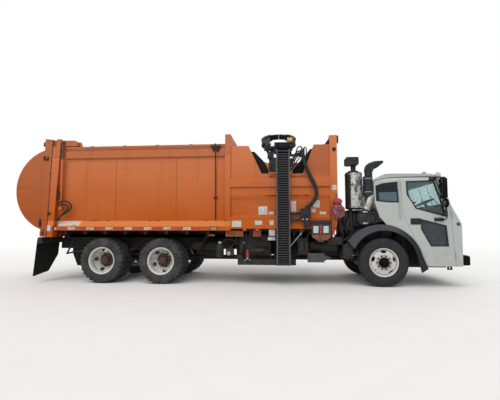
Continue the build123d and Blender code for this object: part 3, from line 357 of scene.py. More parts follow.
def plain_finish(name, base, other, rough, metal=0.0, scale=8.0, grain=80.0, depth=0.001, specular=0.5):
    """A moulded, rubber or painted surface: two close tones and a fine grain."""
    finish = Finish(name, rough, metal)
    cloud = finish.noise(scale, detail=6)
    finish.colour(finish.mix(finish.span(cloud, 0.35, 0.7), base, other))
    finish.rough(cloud, max(rough - 0.08, 0.05), min(rough + 0.1, 1.0))
    finish.relief(finish.noise(grain, detail=3), depth, 0.6)
    finish.set("Specular IOR Level", specular)
    return finish.material


def fender_plastic():
    """Dark grey moulded plastic, painted lighter behind the arch's crown as a painted highlight, and darker in front
    of it.
    """
    finish = Finish("fender_plastic", 0.55)
    # painted highlight: the arch is painted lighter grey behind its crown
    highlighted_rear = finish.mix(finish.noise(5.0, detail=6), (0.032, 0.036, 0.044), (0.066, 0.07, 0.08))
    finish.colour(finish.mix(finish.span(finish.part("X"), 3.65, 3.95), highlighted_rear, (0.01, 0.011, 0.013)))
    finish.relief(finish.noise(80.0, detail=3), 0.001, 0.6)
    finish.set("Specular IOR Level", 0.3)
    return finish.material


def perforated_shield():
    """Stained bright shield; rows of small round holes follow its own map, in metres round and up."""
    finish = Finish("perforated_shield", 0.42, 0.75)
    stain = finish.noise(9, detail=8, rough=0.65)
    colour = finish.mix(finish.span(stain, 0.5, 0.56), (0.56, 0.55, 0.53), (0.12, 0.11, 0.105))
    colour = finish.mix(finish.span(finish.noise(20, detail=7), 0.58, 0.64, 0.0, 0.6), colour, RUST_PALE)
    place = finish.coords(output="UV")
    holes = finish.cells(1 / 0.022, place=place)
    hole = finish.span(holes, 0.3, 0.22)
    colour = finish.mix(hole, colour, BLACK)
    finish.colour(colour)
    finish.rough(stain, 0.3, 0.62)
    finish.relief(finish.span(hole, 0.0, 1.0, 1.0, 0.0), 0.002, 0.8)
    return finish.material


def reflective_tape():
    """Red and white prismatic tape, scuffed; the pitch is 457 mm with 178 mm of white."""
    finish = Finish("reflective_tape", 0.35)
    along = finish.sum("DIVIDE", finish.sum("ADD", finish.part("X"), 10.152), 0.457)
    share = finish.sum("FRACT", along)
    white = finish.band(share, 0.0, 0.39, 0.006)
    clean = finish.mix(white, (0.33, 0.018, 0.014), (0.48, 0.43, 0.385))
    scuffed = finish.span(finish.noise(14, stretch=(0.5, 1, 2), detail=8), 0.46, 0.6, 0.0, 0.8)
    finish.colour(finish.mix(scuffed, clean, (0.24, 0.095, 0.05)))
    finish.relief(finish.cells(220.0), 0.0008, 0.6)
    finish.set("Coat Weight", 0.4)
    finish.set("Coat Roughness", 0.2)
    return finish.material


def blank_label():
    """A plain pale sticker, greyed by dirt, with nothing printed on it."""
    finish = Finish("blank_label", 0.55)
    cloud = finish.noise(28, detail=7)
    colour = finish.mix(finish.span(cloud, 0.4, 0.66), (0.56, 0.545, 0.51), (0.31, 0.29, 0.265))
    finish.colour(colour)
    finish.relief(finish.noise(60, detail=3), 0.0006, 0.5)
    return finish.material


def bag_cloth():
    """Mottled red and pink cloth with a plain woven grain."""
    finish = Finish("bag_cloth", 0.85)
    blots = finish.cells(13.0, stretch=(1, 1, 1.3))
    petals = finish.span(blots, 0.18, 0.42)
    colour = finish.mix(petals, (0.34, 0.12, 0.14), (0.17, 0.022, 0.034))
    colour = finish.mix(finish.span(finish.noise(30, detail=7), 0.53, 0.6), colour, (0.04, 0.018, 0.028))
    colour = finish.mix(finish.span(finish.noise(19, detail=5), 0.6, 0.66), colour, (0.4, 0.27, 0.29))
    finish.colour(colour)
    warp = finish.sum("SINE", finish.sum("MULTIPLY", finish.part("X"), 2400))
    weft = finish.sum("SINE", finish.sum("MULTIPLY", finish.part("Z"), 2400))
    finish.relief(finish.sum("MULTIPLY", warp, weft), 0.0006, 0.5)
    finish.set("Sheen Weight", 0.3)
    return finish.material


def hose_sleeve():
    """Braided sleeve over hoses: two crossed sets of fine ridges and a dusty bloom."""
    finish = Finish("hose_sleeve", 0.75)
    dust = finish.span(finish.noise(16, detail=7), 0.45, 0.7)
    finish.colour(finish.mix(dust, (0.006, 0.006, 0.007), (0.03, 0.03, 0.034)))
    first = finish.sum("SINE", finish.part("X", stretch=(260, 1, 1), turn=(0, math.radians(35), 0)))
    second = finish.sum("SINE", finish.part("X", stretch=(260, 1, 1), turn=(0, math.radians(-35), 0)))
    finish.relief(finish.sum("MULTIPLY", first, second), 0.002, 0.9)
    return finish.material


def lamp_lens(name, base, deep):
    """Ribbed moulded lens."""
    finish = Finish(name, 0.12)
    finish.colour(finish.mix(finish.noise(30, detail=4), base, deep))
    ribs = finish.sum("SINE", finish.sum("MULTIPLY", finish.part("X"), 900))
    finish.relief(ribs, 0.0015, 0.6)
    finish.set("Coat Weight", 0.6)
    finish.set("Coat Roughness", 0.05)
    return finish.material


def cab_fabric():
    """Woven seat cloth and soft dash skin, dark and dusty."""
    finish = Finish("cab_fabric", 0.85)
    cloud = finish.noise(7, detail=6)
    finish.colour(finish.mix(cloud, (0.03, 0.031, 0.034), (0.08, 0.08, 0.084)))
    warp = finish.sum("SINE", finish.part("X", stretch=(1500, 1, 1)))
    weft = finish.sum("SINE", finish.part("Z", stretch=(1, 1, 1500)))
    finish.relief(finish.sum("ADD", warp, weft), 0.0005, 0.5)
    finish.set("Sheen Weight", 0.2)
    return finish.material


FINISH = {
    "body": orange_paint("orange_paint"), "side": orange_paint("orange_side", ledge=True),
    "hopper": orange_paint("orange_hopper", rubbed_and_shaded=True), "gate": orange_paint("orange_gate", dim=0.45),
    "cab": cab_white_paint("cab_white_paint"), "door": cab_white_paint("door_white_paint", mirrors=True),
    "chassis": grimy_steel("chassis_steel", base=(0.012, 0.012, 0.013), dust=(0.05, 0.045, 0.038)),
    "arm": grimy_steel("arm_steel", base=(0.007, 0.008, 0.011), dust=(0.026, 0.028, 0.033), rough=0.5),
    "mast": mast_steel(), "drive_tyre": tyre_rubber("drive_tyre_rubber", (0.066, 0.064, 0.061)),
    "steer_tyre": tyre_rubber("steer_tyre_rubber", (0.016, 0.018, 0.02)),
    "rear_wheel": wheel_paint("rear_wheel_paint", REAR_AXLES["rear"], REAR_RADIUS, 0.15, 0.8),
    "mid_wheel": wheel_paint("mid_wheel_paint", REAR_AXLES["mid"], REAR_RADIUS, 0.15, 0.8),
    "steer_wheel": wheel_paint("steer_wheel_paint", STEER_X, STEER_RADIUS, 0.08, 0.3),
    "nuts": grimy_steel("rusty_nuts", base=(0.045, 0.024, 0.018), dust=(0.11, 0.055, 0.04), rust=0.8),
    "door_glass": window_glass("door_glass", (0.43, 0.5, 0.56), 1.5, 1.53, "Z"),
    "cab_glass": window_glass("cab_glass", (0.125, 0.17, 0.2), 3.72, 3.8, "X"),
    "flap": plain_finish("flap_rubber", (0.006, 0.006, 0.006), (0.012, 0.012, 0.011), 0.75, scale=3.0, specular=0.2),
    "bumper": plain_finish("bumper_plastic", (0.002, 0.002, 0.002), (0.004, 0.004, 0.005), 0.6, specular=0.1),
    "intake": plain_finish("intake_plastic", (0.011, 0.013, 0.017), (0.022, 0.025, 0.031), 0.5, specular=0.3),
    "pale_plate": plain_finish("pale_plate", (0.56, 0.56, 0.55), (0.33, 0.325, 0.315), 0.4, scale=14.0),
    "red_paint": plain_finish("red_paint", (0.3, 0.03, 0.026), (0.17, 0.02, 0.018), 0.4),
    "rubber": plain_finish("black_rubber", (0.008, 0.008, 0.009), (0.022, 0.022, 0.022), 0.6, specular=0.35),
    "plastic": plain_finish("black_plastic", (0.02, 0.021, 0.023), (0.045, 0.046, 0.048), 0.45),
    "fender": fender_plastic(), "engine": plain_finish("engine_iron", (0.05, 0.05, 0.052), (0.11, 0.1, 0.09), 0.65),
    "box": plain_finish("grey_box", (0.04, 0.042, 0.046), (0.085, 0.085, 0.086), 0.5),
    "mirror": plain_finish("mirror_glass", (0.07, 0.075, 0.08), (0.11, 0.115, 0.12), 0.08, metal=1.0),
    # the lift rods are bright steel, painted dark here as painted shade from the bracket above them
    "rod": plain_finish("rod_in_painted_shade", (0.11, 0.09, 0.08), (0.18, 0.15, 0.13), 0.35, metal=0.8),
    "dark_line": plain_finish("grimy_seam", (0.15, 0.045, 0.012), (0.09, 0.035, 0.015), 0.8),
    "chrome": plain_finish("bright_steel", (0.55, 0.55, 0.55), (0.38, 0.375, 0.37), 0.22, metal=1.0),
    "silver": plain_finish("silver_pipe", (0.52, 0.52, 0.52), (0.26, 0.25, 0.24), 0.35, metal=0.8),
    "soot": plain_finish("sooty_steel", (0.01, 0.01, 0.01), (0.036, 0.029, 0.025), 0.6, metal=0.4),
    "shield": perforated_shield(), "tape": reflective_tape(), "label": blank_label(), "bag": bag_cloth(),
    "red_cloth": plain_finish("plain_red_cloth", (0.37, 0.046, 0.052), (0.26, 0.028, 0.034), 0.85, grain=300.0),
    "sleeve": hose_sleeve(), "red_lens": lamp_lens("red_lens", (0.42, 0.016, 0.014), (0.24, 0.008, 0.008)),
    "smoked_lens": lamp_lens("smoked_lens", (0.09, 0.035, 0.012), (0.04, 0.02, 0.012)),
    "amber_lens": lamp_lens("amber_lens", (0.62, 0.2, 0.012), (0.42, 0.11, 0.008)),
    "clear_lens": lamp_lens("clear_lens", (0.62, 0.64, 0.64), (0.42, 0.44, 0.45)), "fabric": cab_fabric(),
    "yellow": plain_finish("worn_yellow", (0.6, 0.4, 0.06), (0.36, 0.23, 0.05), 0.5),
    "rust": plain_finish("rusty_plate", (0.26, 0.075, 0.025), (0.11, 0.035, 0.016), 0.8, scale=12.0, depth=0.003),
}


def meshed(name, bm):
    """A new mesh of what is drawn; the drawing is let go."""
    mesh = bpy.data.meshes.new(name)
    bm.to_mesh(mesh)
    bm.free()
    return mesh


def studio():
    """The camera, a soft sun, a pale floor that fades into a white surround."""
    scene = bpy.context.scene
    scene.view_settings.view_transform = "Standard"
    lens = bpy.data.cameras.new("viewpoint")
    lens.sensor_width = 36.0
    lens.lens = 25.99
    camera = bpy.data.objects.new("viewpoint", lens)
    camera.location = (1.242, -9.22, 1.285)
    camera.rotation_euler = (math.radians(90 + 4.28), 0.0, math.radians(5.25))
    scene.collection.objects.link(camera)
    scene.camera = camera

    for name, energy, angle, turn in (
        ("daylight", 1.9, 60.0, (42.0, 8.0, -20.0)), ("fill", 0.5, 90.0, (62.0, 0.0, 150.0)),
    ):
        lamp = bpy.data.lights.new(name, "SUN")
        lamp.energy = energy
        lamp.angle = math.radians(angle)
        sun = bpy.data.objects.new(name, lamp)
        sun.rotation_euler = [math.radians(a) for a in turn]
        scene.collection.objects.link(sun)

    world = bpy.data.worlds.new("surround")
    scene.world = world
    world.use_nodes = True
    nodes, links = world.node_tree.nodes, world.node_tree.links
    back = nodes["Background"]
    back.inputs["Color"].default_value = (1.0, 1.0, 1.0, 1.0)
    path = nodes.new("ShaderNodeLightPath")
    seen = nodes.new("ShaderNodeMath")
    seen.operation = "MAXIMUM"
    links.new(path.outputs["Is Camera Ray"], seen.inputs[0])
    links.new(path.outputs["Is Transmission Ray"], seen.inputs[1])
    level = nodes.new("ShaderNodeMapRange")
    level.inputs["To Min"].default_value = 0.62
    level.inputs["To Max"].default_value = 1.0
    links.new(seen.outputs["Value"], level.inputs["Value"])
    links.new(level.outputs["Result"], back.inputs["Strength"])

    bm = bmesh.new()
    bmesh.ops.create_circle(bm, cap_ends=True, segments=64, radius=60.0)
    mesh = meshed("floor", bm)
    floor = bpy.data.objects.new("floor", mesh)
    scene.collection.objects.link(floor)
    finish = Finish("pale_floor", 0.9)
    finish.colour(finish.mix(finish.noise(2.0, detail=5), (0.76, 0.755, 0.745), (0.82, 0.815, 0.805)))
    distance = finish.nodes.new("ShaderNodeVectorMath")
    distance.operation = "LENGTH"
    finish.links.new(finish.coords(), distance.inputs[0])
    clear = finish.nodes.new("ShaderNodeBsdfTransparent")
    blend = finish.nodes.new("ShaderNodeMixShader")
    finish.join(finish.span(distance.outputs["Value"], 7.0, 22.0), blend.inputs["Fac"])
    finish.links.new(finish.shader.outputs["BSDF"], blend.inputs[1])
    finish.links.new(clear.outputs["BSDF"], blend.inputs[2])
    finish.links.new(blend.outputs["Shader"], finish.nodes["Material Output"].inputs["Surface"])
    mesh.materials.append(finish.material)


def finished(name, bm, finish, body="truck", crease=35.0):
    """Make a piece from its mesh, with its faces outwards, and let it ride on its body."""
    bmesh.ops.recalc_face_normals(bm, faces=bm.faces)
    mesh = meshed(name, bm)
    mesh.shade_smooth()
    mesh.set_sharp_from_angle(angle=math.radians(crease))
    mesh.materials.append(FINISH[finish])
    piece = bpy.data.objects.new(name, mesh)
    bpy.context.scene.collection.objects.link(piece)
    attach(piece, body)
    return piece


def add_box(bm, corner, opposite, bevel=0.004):
    """A box between two opposite corners, whichever way round they are given."""
    made = bmesh.ops.create_cube(bm, size=1.0)["verts"]
    low, high = (Vector([pick(pair) for pair in zip(corner, opposite)]) for pick in (min, max))
    bmesh.ops.scale(bm, vec=high - low, verts=made)
    bmesh.ops.translate(bm, vec=(low + high) / 2, verts=made)
    soften(bm, made, bevel)


def soften(bm, verts, bevel, limit=0.5):
    """Round the sharp edges of these vertices."""
    edges = {edge for vert in verts for edge in vert.link_edges}
    sharp = [edge for edge in edges if edge.is_manifold and edge.calc_face_angle(0.0) > limit]
    if bevel:
        bmesh.ops.bevel(bm, geom=sharp, offset=bevel, segments=2, affect="EDGES", profile=0.5, material=-1)


def along(start, end):
    """The place of something made round Z at the origin, moved to the middle of a line and turned along it."""
    line = Vector(end) - Vector(start)
    middle = (Vector(start) + Vector(end)) / 2
    return Matrix.Translation(middle) @ line.to_track_quat("Z", "Y").to_matrix().to_4x4()


def add_rod(bm, start, end, radius, sides=20, tip=None, bevel=0.0):
    length = (Vector(end) - Vector(start)).length
    made = bmesh.ops.create_cone(bm, cap_ends=True, segments=sides, radius1=radius,
                                 radius2=radius if tip is None else tip, depth=length, matrix=along(start, end))
    soften(bm, made["verts"], bevel, 0.9)


def add_prism(bm, outline, depth, bevel=0.0):
    """A face through these points, drawn out by a vector."""
    corners = [bm.verts.new(point) for point in outline]
    grown = bmesh.ops.extrude_face_region(bm, geom=[bm.faces.new(corners)])["geom"]
    moved = [item for item in grown if isinstance(item, bmesh.types.BMVert)]
    bmesh.ops.translate(bm, vec=depth, verts=moved)
    soften(bm, corners + moved, bevel, 0.3)


def add_plate(bm, outline, y0, y1, bevel=0.003):
    """A plate whose outline is given as (x, z), from y0 to y1."""
    add_prism(bm, [(x, y0, z) for x, z in outline], (0.0, y1 - y0, 0.0), bevel)


def add_turned(bm, profile, place, steps=48, closed=True):
    """Spin a (radius, height) outline round Z, then move it to its place; gives back its vertices."""
    before = set(bm.verts)
    ring = [bm.verts.new((radius, 0.0, height)) for radius, height in profile]
    ends = ring[1:] + ring[:1] if closed else ring[1:]
    edges = [bm.edges.new(pair) for pair in zip(ring, ends)]
    bmesh.ops.spin(bm, geom=ring + edges, cent=(0, 0, 0), axis=(0, 0, 1), angle=2 * math.pi, steps=steps,
                   use_merge=True)
    made = [vert for vert in bm.verts if vert not in before]
    bmesh.ops.remove_doubles(bm, verts=made, dist=0.00005)
    made = [vert for vert in bm.verts if vert not in before]
    bmesh.ops.transform(bm, matrix=place, verts=made)
    return made


def on_axle(x, side, y, z):
    """A wheel drawn round Z, standing on its axle with its outer face away from the middle."""
    way = SIDES[side]
    return Matrix.Translation((x, way * y, z)) @ Matrix.Rotation(math.radians(-90 * way), 4, "X")


def add_nuts(bm, place, circle, height, count, across, depth, start=0.0):
    """Hexagon nuts on their studs, evenly round a circle."""
    for index in range(count):
        angle = 2 * math.pi * index / count + start
        foot = Vector((circle * math.cos(angle), circle * math.sin(angle), height))
        top = foot + Vector((0, 0, depth))
        add_rod(bm, place @ foot, place @ top, across / 2, 6, bevel=across * 0.06)
        add_rod(bm, place @ foot, place @ (top + Vector((0, 0, depth * 0.6))), across * 0.27, 10)


def bent(runs, radius):
    """A curve for bent pipes or hoses of one size; each run is a list of points that its line follows."""
    curve = bpy.data.curves.new("line", "CURVE")
    curve.dimensions = "3D"
    curve.bevel_depth = radius
    curve.bevel_resolution = 4
    curve.resolution_u = 8
    curve.use_fill_caps = True
    for run in runs:
        spline = curve.splines.new("NURBS")
        spline.points.add(len(run) - 1)
        for point, place in zip(spline.points, run):
            point.co = (*place, 1.0)
        spline.order_u = 3
        spline.use_endpoint_u = True
    return curve


def tube(name, runs, radius, finish, body="truck"):
    """Bent pipes or fixed hoses of one size as one mesh."""
    shape = bpy.data.objects.new("line", bent(runs, radius))
    mesh = bpy.data.meshes.new_from_object(shape)
    bpy.data.objects.remove(shape)
    bm = bmesh.new()
    bm.from_mesh(mesh)
    bpy.data.meshes.remove(mesh)
    return finished(name, bm, finish, body, 60)


def hose(name, route, diameter, finish, body="truck"):
    """A free hose that leaves the object at its first point and goes back into it at its last."""
    piece = tube(name, [route], diameter / 2, finish, body)
    centreline(route)
    return piece


def centreline(route):
    """The points along the line of a route's own spline."""
    shape = bpy.data.objects.new("line", bent([route], 0.0))
    mesh = bpy.data.meshes.new_from_object(shape)
    points = [vert.co.copy() for vert in mesh.vertices]
    bpy.data.objects.remove(shape)
    bpy.data.meshes.remove(mesh)
    return points


HOSE_ROUTE = (
    (1.683, -1.3, 2.835), (1.702, -1.302, 2.75), (1.745, -1.306, 2.6), (1.825, -1.31, 2.405), (1.915, -1.312, 2.24),
    (1.972, -1.312, 2.065), (1.96, -1.31, 1.93), (1.88, -1.306, 1.808), (1.787, -1.302, 1.726),
)
HOSE_DIAMETER = 0.085


def hose_bundle():
    """The sleeved hoses from the mast's head to the box beside it, bound with straps."""
    line = centreline(HOSE_ROUTE)
    bm = bmesh.new()
    for share in (0.07, 0.2, 0.33, 0.47, 0.6, 0.73, 0.86, 0.95):
        index = int(share * (len(line) - 1))
        start, end = line[index], line[index + 1]
        step = (end - start).normalized() * 0.011
        add_rod(bm, start - step, start + step, HOSE_DIAMETER / 2 + 0.0025, 24, bevel=0.002)
    straps = finished("hose_straps", bm, "rubber", "mast")
    sleeve = hose("hose_sleeve", HOSE_ROUTE, HOSE_DIAMETER, "sleeve", "mast")
    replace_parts(sleeve, "hose_bundle")


def drive_tyre():
    """The mesh of a lugged tyre: its casing is spun, then its tread falls back between 30 lugs in each row."""
    half, radius, bead = REAR_WIDTH / 2, REAR_RADIUS, REAR_WIDTH / 2 - 0.037
    side = ((BEAD, -bead), (0.314, -bead - 0.006), (0.322, -half * 0.86), (0.352, -half * 0.965), (0.384, -half),
            (0.425, -half * 0.995), (0.427, -half * 0.975), (0.462, -half * 0.965), (0.485, -half * 0.935),
            (0.503, -half * 0.87), (radius, -half * 0.79))
    crown = ((radius, -half * 0.4), (radius - 0.014, -half * 0.37), (radius - 0.014, -half * 0.3),
             (radius, -half * 0.27), (radius, -half * 0.05))
    profile = side + crown + tuple((r, -a) for r, a in reversed(side + crown))
    lugs = 30
    bm = bmesh.new()
    for vert in add_turned(bm, profile, Matrix.Identity(4), steps=lugs * 6):
        out = math.hypot(vert.co.x, vert.co.y)
        row = 0.5 if abs(vert.co.z) < half * 0.385 else 0.0
        turn = (math.atan2(vert.co.y, vert.co.x) / (2 * math.pi) * lugs + row + (0.25 if vert.co.z > 0 else 0.0)) % 1.0
        if out > 0.455 and turn > 0.56:
            depth = 0.02 if out > 0.495 else 0.008
            vert.co.x, vert.co.y = vert.co.x * (1 - depth / out), vert.co.y * (1 - depth / out)
            if out < radius - 0.005:
                vert.co.z -= math.copysign(0.011, vert.co.z)
    return meshed("single_tyre", bm)


def steer_tyre(side):
    """A ribbed tyre: four grooves run round its tread."""
    half, radius, bead = STEER_WIDTH / 2, STEER_RADIUS, STEER_WIDTH / 2 - 0.045
    flank = [(BEAD, -bead), (0.314, -bead - 0.006), (0.322, -half * 0.86), (0.355, -half * 0.965), (0.392, -half),
             (0.432, -half * 0.995), (0.434, -half * 0.975), (0.478, -half * 0.93), (0.499, -half * 0.86),
             (radius - 0.006, -half * 0.765)]
    crown = []
    for centre in (-0.51, -0.17):
        low, high = (centre - 0.035) * half, (centre + 0.035) * half
        crown += [(radius, low - 0.001), (radius - 0.013, low + 0.001), (radius - 0.013, high - 0.001),
                  (radius, high + 0.001)]
    profile = flank + crown + [(r, -a) for r, a in reversed(flank + crown)]
    bm = bmesh.new()
    add_turned(bm, profile, on_axle(STEER_X, side, STEER_Y, STEER_RADIUS), steps=84)
    piece = finished(f"ribbed_tyre_{side}", bm, "steer_tyre", f"steer_{side}", crease=28)
    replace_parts(piece, f"steer_tyre_{side}")


def rear_tyres(tyre, row, side):
    """Twin tyres of one axle's end, as two copies of the single tyre."""
    bm = bmesh.new()
    for shift in (0.0, TWIN_SPACING):
        copy = tyre.copy()
        copy.transform(on_axle(REAR_AXLES[row], side, TWIN_OUTER - shift, REAR_RADIUS))
        bm.from_mesh(copy)
        bpy.data.meshes.remove(copy)
    piece = finished(f"{row}_drive_tyres_{side}", bm, "drive_tyre", f"{row}_{side}", crease=28)
    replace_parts(piece, f"{row}_tyres_{side}")


def rear_hub(row, side):
    """Ten wheel nuts, the axle flange's own bolts and a round cap at the middle."""
    place = on_axle(REAR_AXLES[row], side, TWIN_OUTER, REAR_RADIUS)
    meet = -TWIN_SPACING / 2
    bm = bmesh.new()
    add_nuts(bm, place, 0.143, meet + 0.014, 10, 0.038, 0.026)
    add_nuts(bm, place, 0.07, meet + 0.155, 8, 0.022, 0.014, start=0.2)
    add_rod(bm, place @ Vector((0, 0, meet + 0.155)), place @ Vector((0, 0, meet + 0.176)), 0.052, 32, bevel=0.005)
    finished(f"{row}_hub_nuts_{side}", bm, "nuts", f"{row}_{side}")


def steer_hub(side):
    """Ten wheel nuts and the black hub cap with its small bolts."""
    place = on_axle(STEER_X, side, STEER_Y, STEER_RADIUS)
    bm = bmesh.new()
    add_nuts(bm, place, 0.143, 0.105, 10, 0.038, 0.026)
    finished(f"steer_nuts_{side}", bm, "nuts", f"steer_{side}")
    bm = bmesh.new()
    add_rod(bm, place @ Vector((0, 0, 0.124)), place @ Vector((0, 0, 0.15)), 0.112, 40, bevel=0.008)
    add_rod(bm, place @ Vector((0, 0, 0.149)), place @ Vector((0, 0, 0.188)), 0.066, 32, tip=0.056, bevel=0.005)
    add_nuts(bm, place, 0.09, 0.15, 8, 0.016, 0.008)
    finished(f"hub_cap_{side}", bm, "bumper", f"steer_{side}")


def tape_strips():
    for side, way in SIDES.items():
        boxes(f"marker_tape_{side}",
              ((-4.082, -0.612, way * (BODY_SIDE + CLEAR), way * (BODY_SIDE + 0.0018), 1.222, 1.282),), "tape",
              bevel=0.0)


def body_trim():
    """Weld beads down the sheets, the seal along the tailgate and the frames of the amber lamps."""
    for side, way in SIDES.items():
        bm = bmesh.new()
        for x in (-2.664, -1.214):
            add_box(bm, (x - 0.004, way * (SHEET_SIDE - 0.001), 1.445),
                    (x + 0.004, way * (SHEET_SIDE + 0.0022), 2.905), 0.001)
        finished(f"weld_beads_{side}", bm, "dark_line")
        bm = bmesh.new()
        seal = ((-4.2115, 3.35), (-4.2005, 3.35), (-4.267, 1.06), (-4.278, 1.06))
        add_plate(bm, seal, way * (BODY_SIDE - 0.002), way * (BODY_SIDE + 0.004))
        finished(f"gate_seal_{side}", bm, "rubber", "gate")
        bm = bmesh.new()
        outer, inner = way * (BODY_SIDE + 0.0145), way * (BODY_SIDE + CLEAR)
        for low, high in (((-0.394, 1.203), (-0.226, 1.215)), ((-0.394, 1.29), (-0.226, 1.302)),
                          ((-0.394, 1.203), (-0.38, 1.302)), ((-0.24, 1.203), (-0.226, 1.302))):
            add_box(bm, (low[0], inner, low[1]), (high[0], outer, high[1]), 0.002)
        finished(f"amber_frame_{side}", bm, "plastic")


# Blank stickers as x from, x to, z from, z to, y of the surface
LABELS = (
    (0.69, 0.89, 1.56, 1.745, -1.1655), (0.925, 1.03, 1.565, 1.625, -1.1655), (0.1, 0.31, 1.29, 1.425, -1.2155),
    (0.94, 1.03, 1.33, 1.43, -1.2155), (0.615, 0.775, 1.335, 1.425, -1.2155), (1.415, 1.53, 1.59, 1.865, -1.1655),
    (1.905, 2.045, 1.715, 1.87, -1.1655), (1.865, 1.955, 1.61, 1.69, -1.1655), (2.04, 2.18, 1.565, 1.625, -1.1655),
    (2.318, 2.41, 2.095, 2.205, -1.2205), (-4.262, -4.175, 1.19, 1.33, -1.2205),
)


def labels():
    boxes("blank_labels", [(x0, x1, y - 0.0012, y + 0.0006, z0, z1) for x0, x1, z0, z1, y in LABELS], "label",
          bevel=0.0)


def conduit():
    """The pipe that climbs the body side, its clamp, and the small bracket with fittings at its top."""
    x, y = -0.29, -SHEET_SIDE - 0.02
    tube("side_conduit", [[(x, y, 1.44), (x, y, 1.7), (x, y, 2.4), (x, y - 0.052, 2.86), (x, y - 0.052, 3.12)]],
         0.012, "rubber")
    bm = bmesh.new()
    add_box(bm, (x - 0.045, y - 0.022, 1.94), (x + 0.045, y + 0.02, 1.975), 0.004)
    add_box(bm, (x - 0.03, y - 0.072, 3.04), (x + 0.09, y - 0.03, 3.075), 0.005)
    add_box(bm, (x - 0.11, y - 0.064, 3.095), (x + 0.115, y - 0.03, 3.15), 0.006)
    for dx, dz in ((-0.08, 0.06), (-0.01, 0.085), (0.07, 0.055), (0.06, -0.11), (-0.06, -0.09)):
        add_rod(bm, (x + dx * 0.4, y - 0.045, 3.11), (x + dx, y - 0.05, 3.11 + dz), 0.016, 12, bevel=0.003)
    finished("conduit_clamps", bm, "rubber")


def tailgate_fittings():
    """Lifting hooks and turnbuckle latches on both edges of the tailgate."""
    for side, way in SIDES.items():
        bm = bmesh.new()
        face = way * BODY_SIDE
        add_box(bm, (-4.405, face, 2.87), (-4.37, face + way * 0.03, 2.96), 0.005)
        add_box(bm, (-4.405, face, 2.86), (-4.29, face + way * 0.026, 2.892), 0.005)
        add_box(bm, (-4.318, face, 2.86), (-4.288, face + way * 0.026, 2.945), 0.005)
        add_box(bm, (-4.455, face - way * 0.03, 1.28), (-4.415, face + way * 0.014, 1.47), 0.005)
        add_rod(bm, (-4.44, face + way * 0.012, 1.3), (-4.44, face + way * 0.012, 1.455), 0.016, 14, bevel=0.003)
        add_rod(bm, (-4.44, face - way * 0.02, 1.375), (-4.44, face + way * 0.034, 1.375), 0.026, 18, bevel=0.004)
        finished(f"gate_hooks_{side}", bm, "chassis", "gate")
        bm = bmesh.new()
        add_box(bm, (-4.262, face, 1.56), (-4.222, face + way * 0.02, 1.64), 0.005)
        add_rod(bm, (-4.228, face + way * 0.012, 1.6), (-4.18, face + way * 0.012, 1.6), 0.01, 12, bevel=0.002)
        finished(f"gate_catch_{side}", bm, "chassis", "gate")


def cab_wall(z):
    """How far out the cab's side stands at a height."""
    return CAB_SIDE - max(z - 1.75, 0.0) * 0.0727 - max(z - 2.3, 0.0) * 0.277


def lean(bm, way):
    """Stand a drawing whose y is its height off the cab's side on that side."""
    for vert in bm.verts:
        vert.co.y = way * (cab_wall(vert.co.z) + vert.co.y)


def moved_out(outline, by):
    """An outline moved outwards by a distance."""
    spots = [Vector(spot) for spot in outline]
    turned = sum(a.x * b.y - b.x * a.y for a, b in zip(spots, spots[1:] + spots[:1]))
    way = math.copysign(1.0, turned)
    moved = []
    for index, here in enumerate(spots):
        back = (here - spots[index - 1]).normalized()
        ahead = (spots[(index + 1) % len(spots)] - here).normalized()
        first = Vector((back.y, -back.x)) * way
        out = (first + Vector((ahead.y, -ahead.x)) * way).normalized()
        moved.append(here + out * by / max(out.dot(first), 0.4))
    return moved


def add_band(bm, outline, inner, outer, y0, y1, bevel=0.002):
    """A frame that follows an outline, from inner to outer off it, and from y0 to y1."""
    loops = [[bm.verts.new((x, y, z)) for x, z in moved_out(outline, by)]
             for by, y in ((inner, y0), (outer, y0), (outer, y1), (inner, y1))]
    for ring, following in zip(loops, loops[1:] + loops[:1]):
        for index in range(len(ring)):
            after = (index + 1) % len(ring)
            bm.faces.new((ring[index], ring[after], following[after], following[index]))
    soften(bm, [vert for ring in loops for vert in ring], bevel, 0.3)


def boxes(name, rows, finish, body="truck", bevel=0.005):
    """One piece from rows of x from, x to, y from, y to, z from, z to."""
    bm = bmesh.new()
    for x0, x1, y0, y1, z0, z1 in rows:
        add_box(bm, (x0, y0, z0), (x1, y1, z1), bevel)
    return finished(name, bm, finish, body)


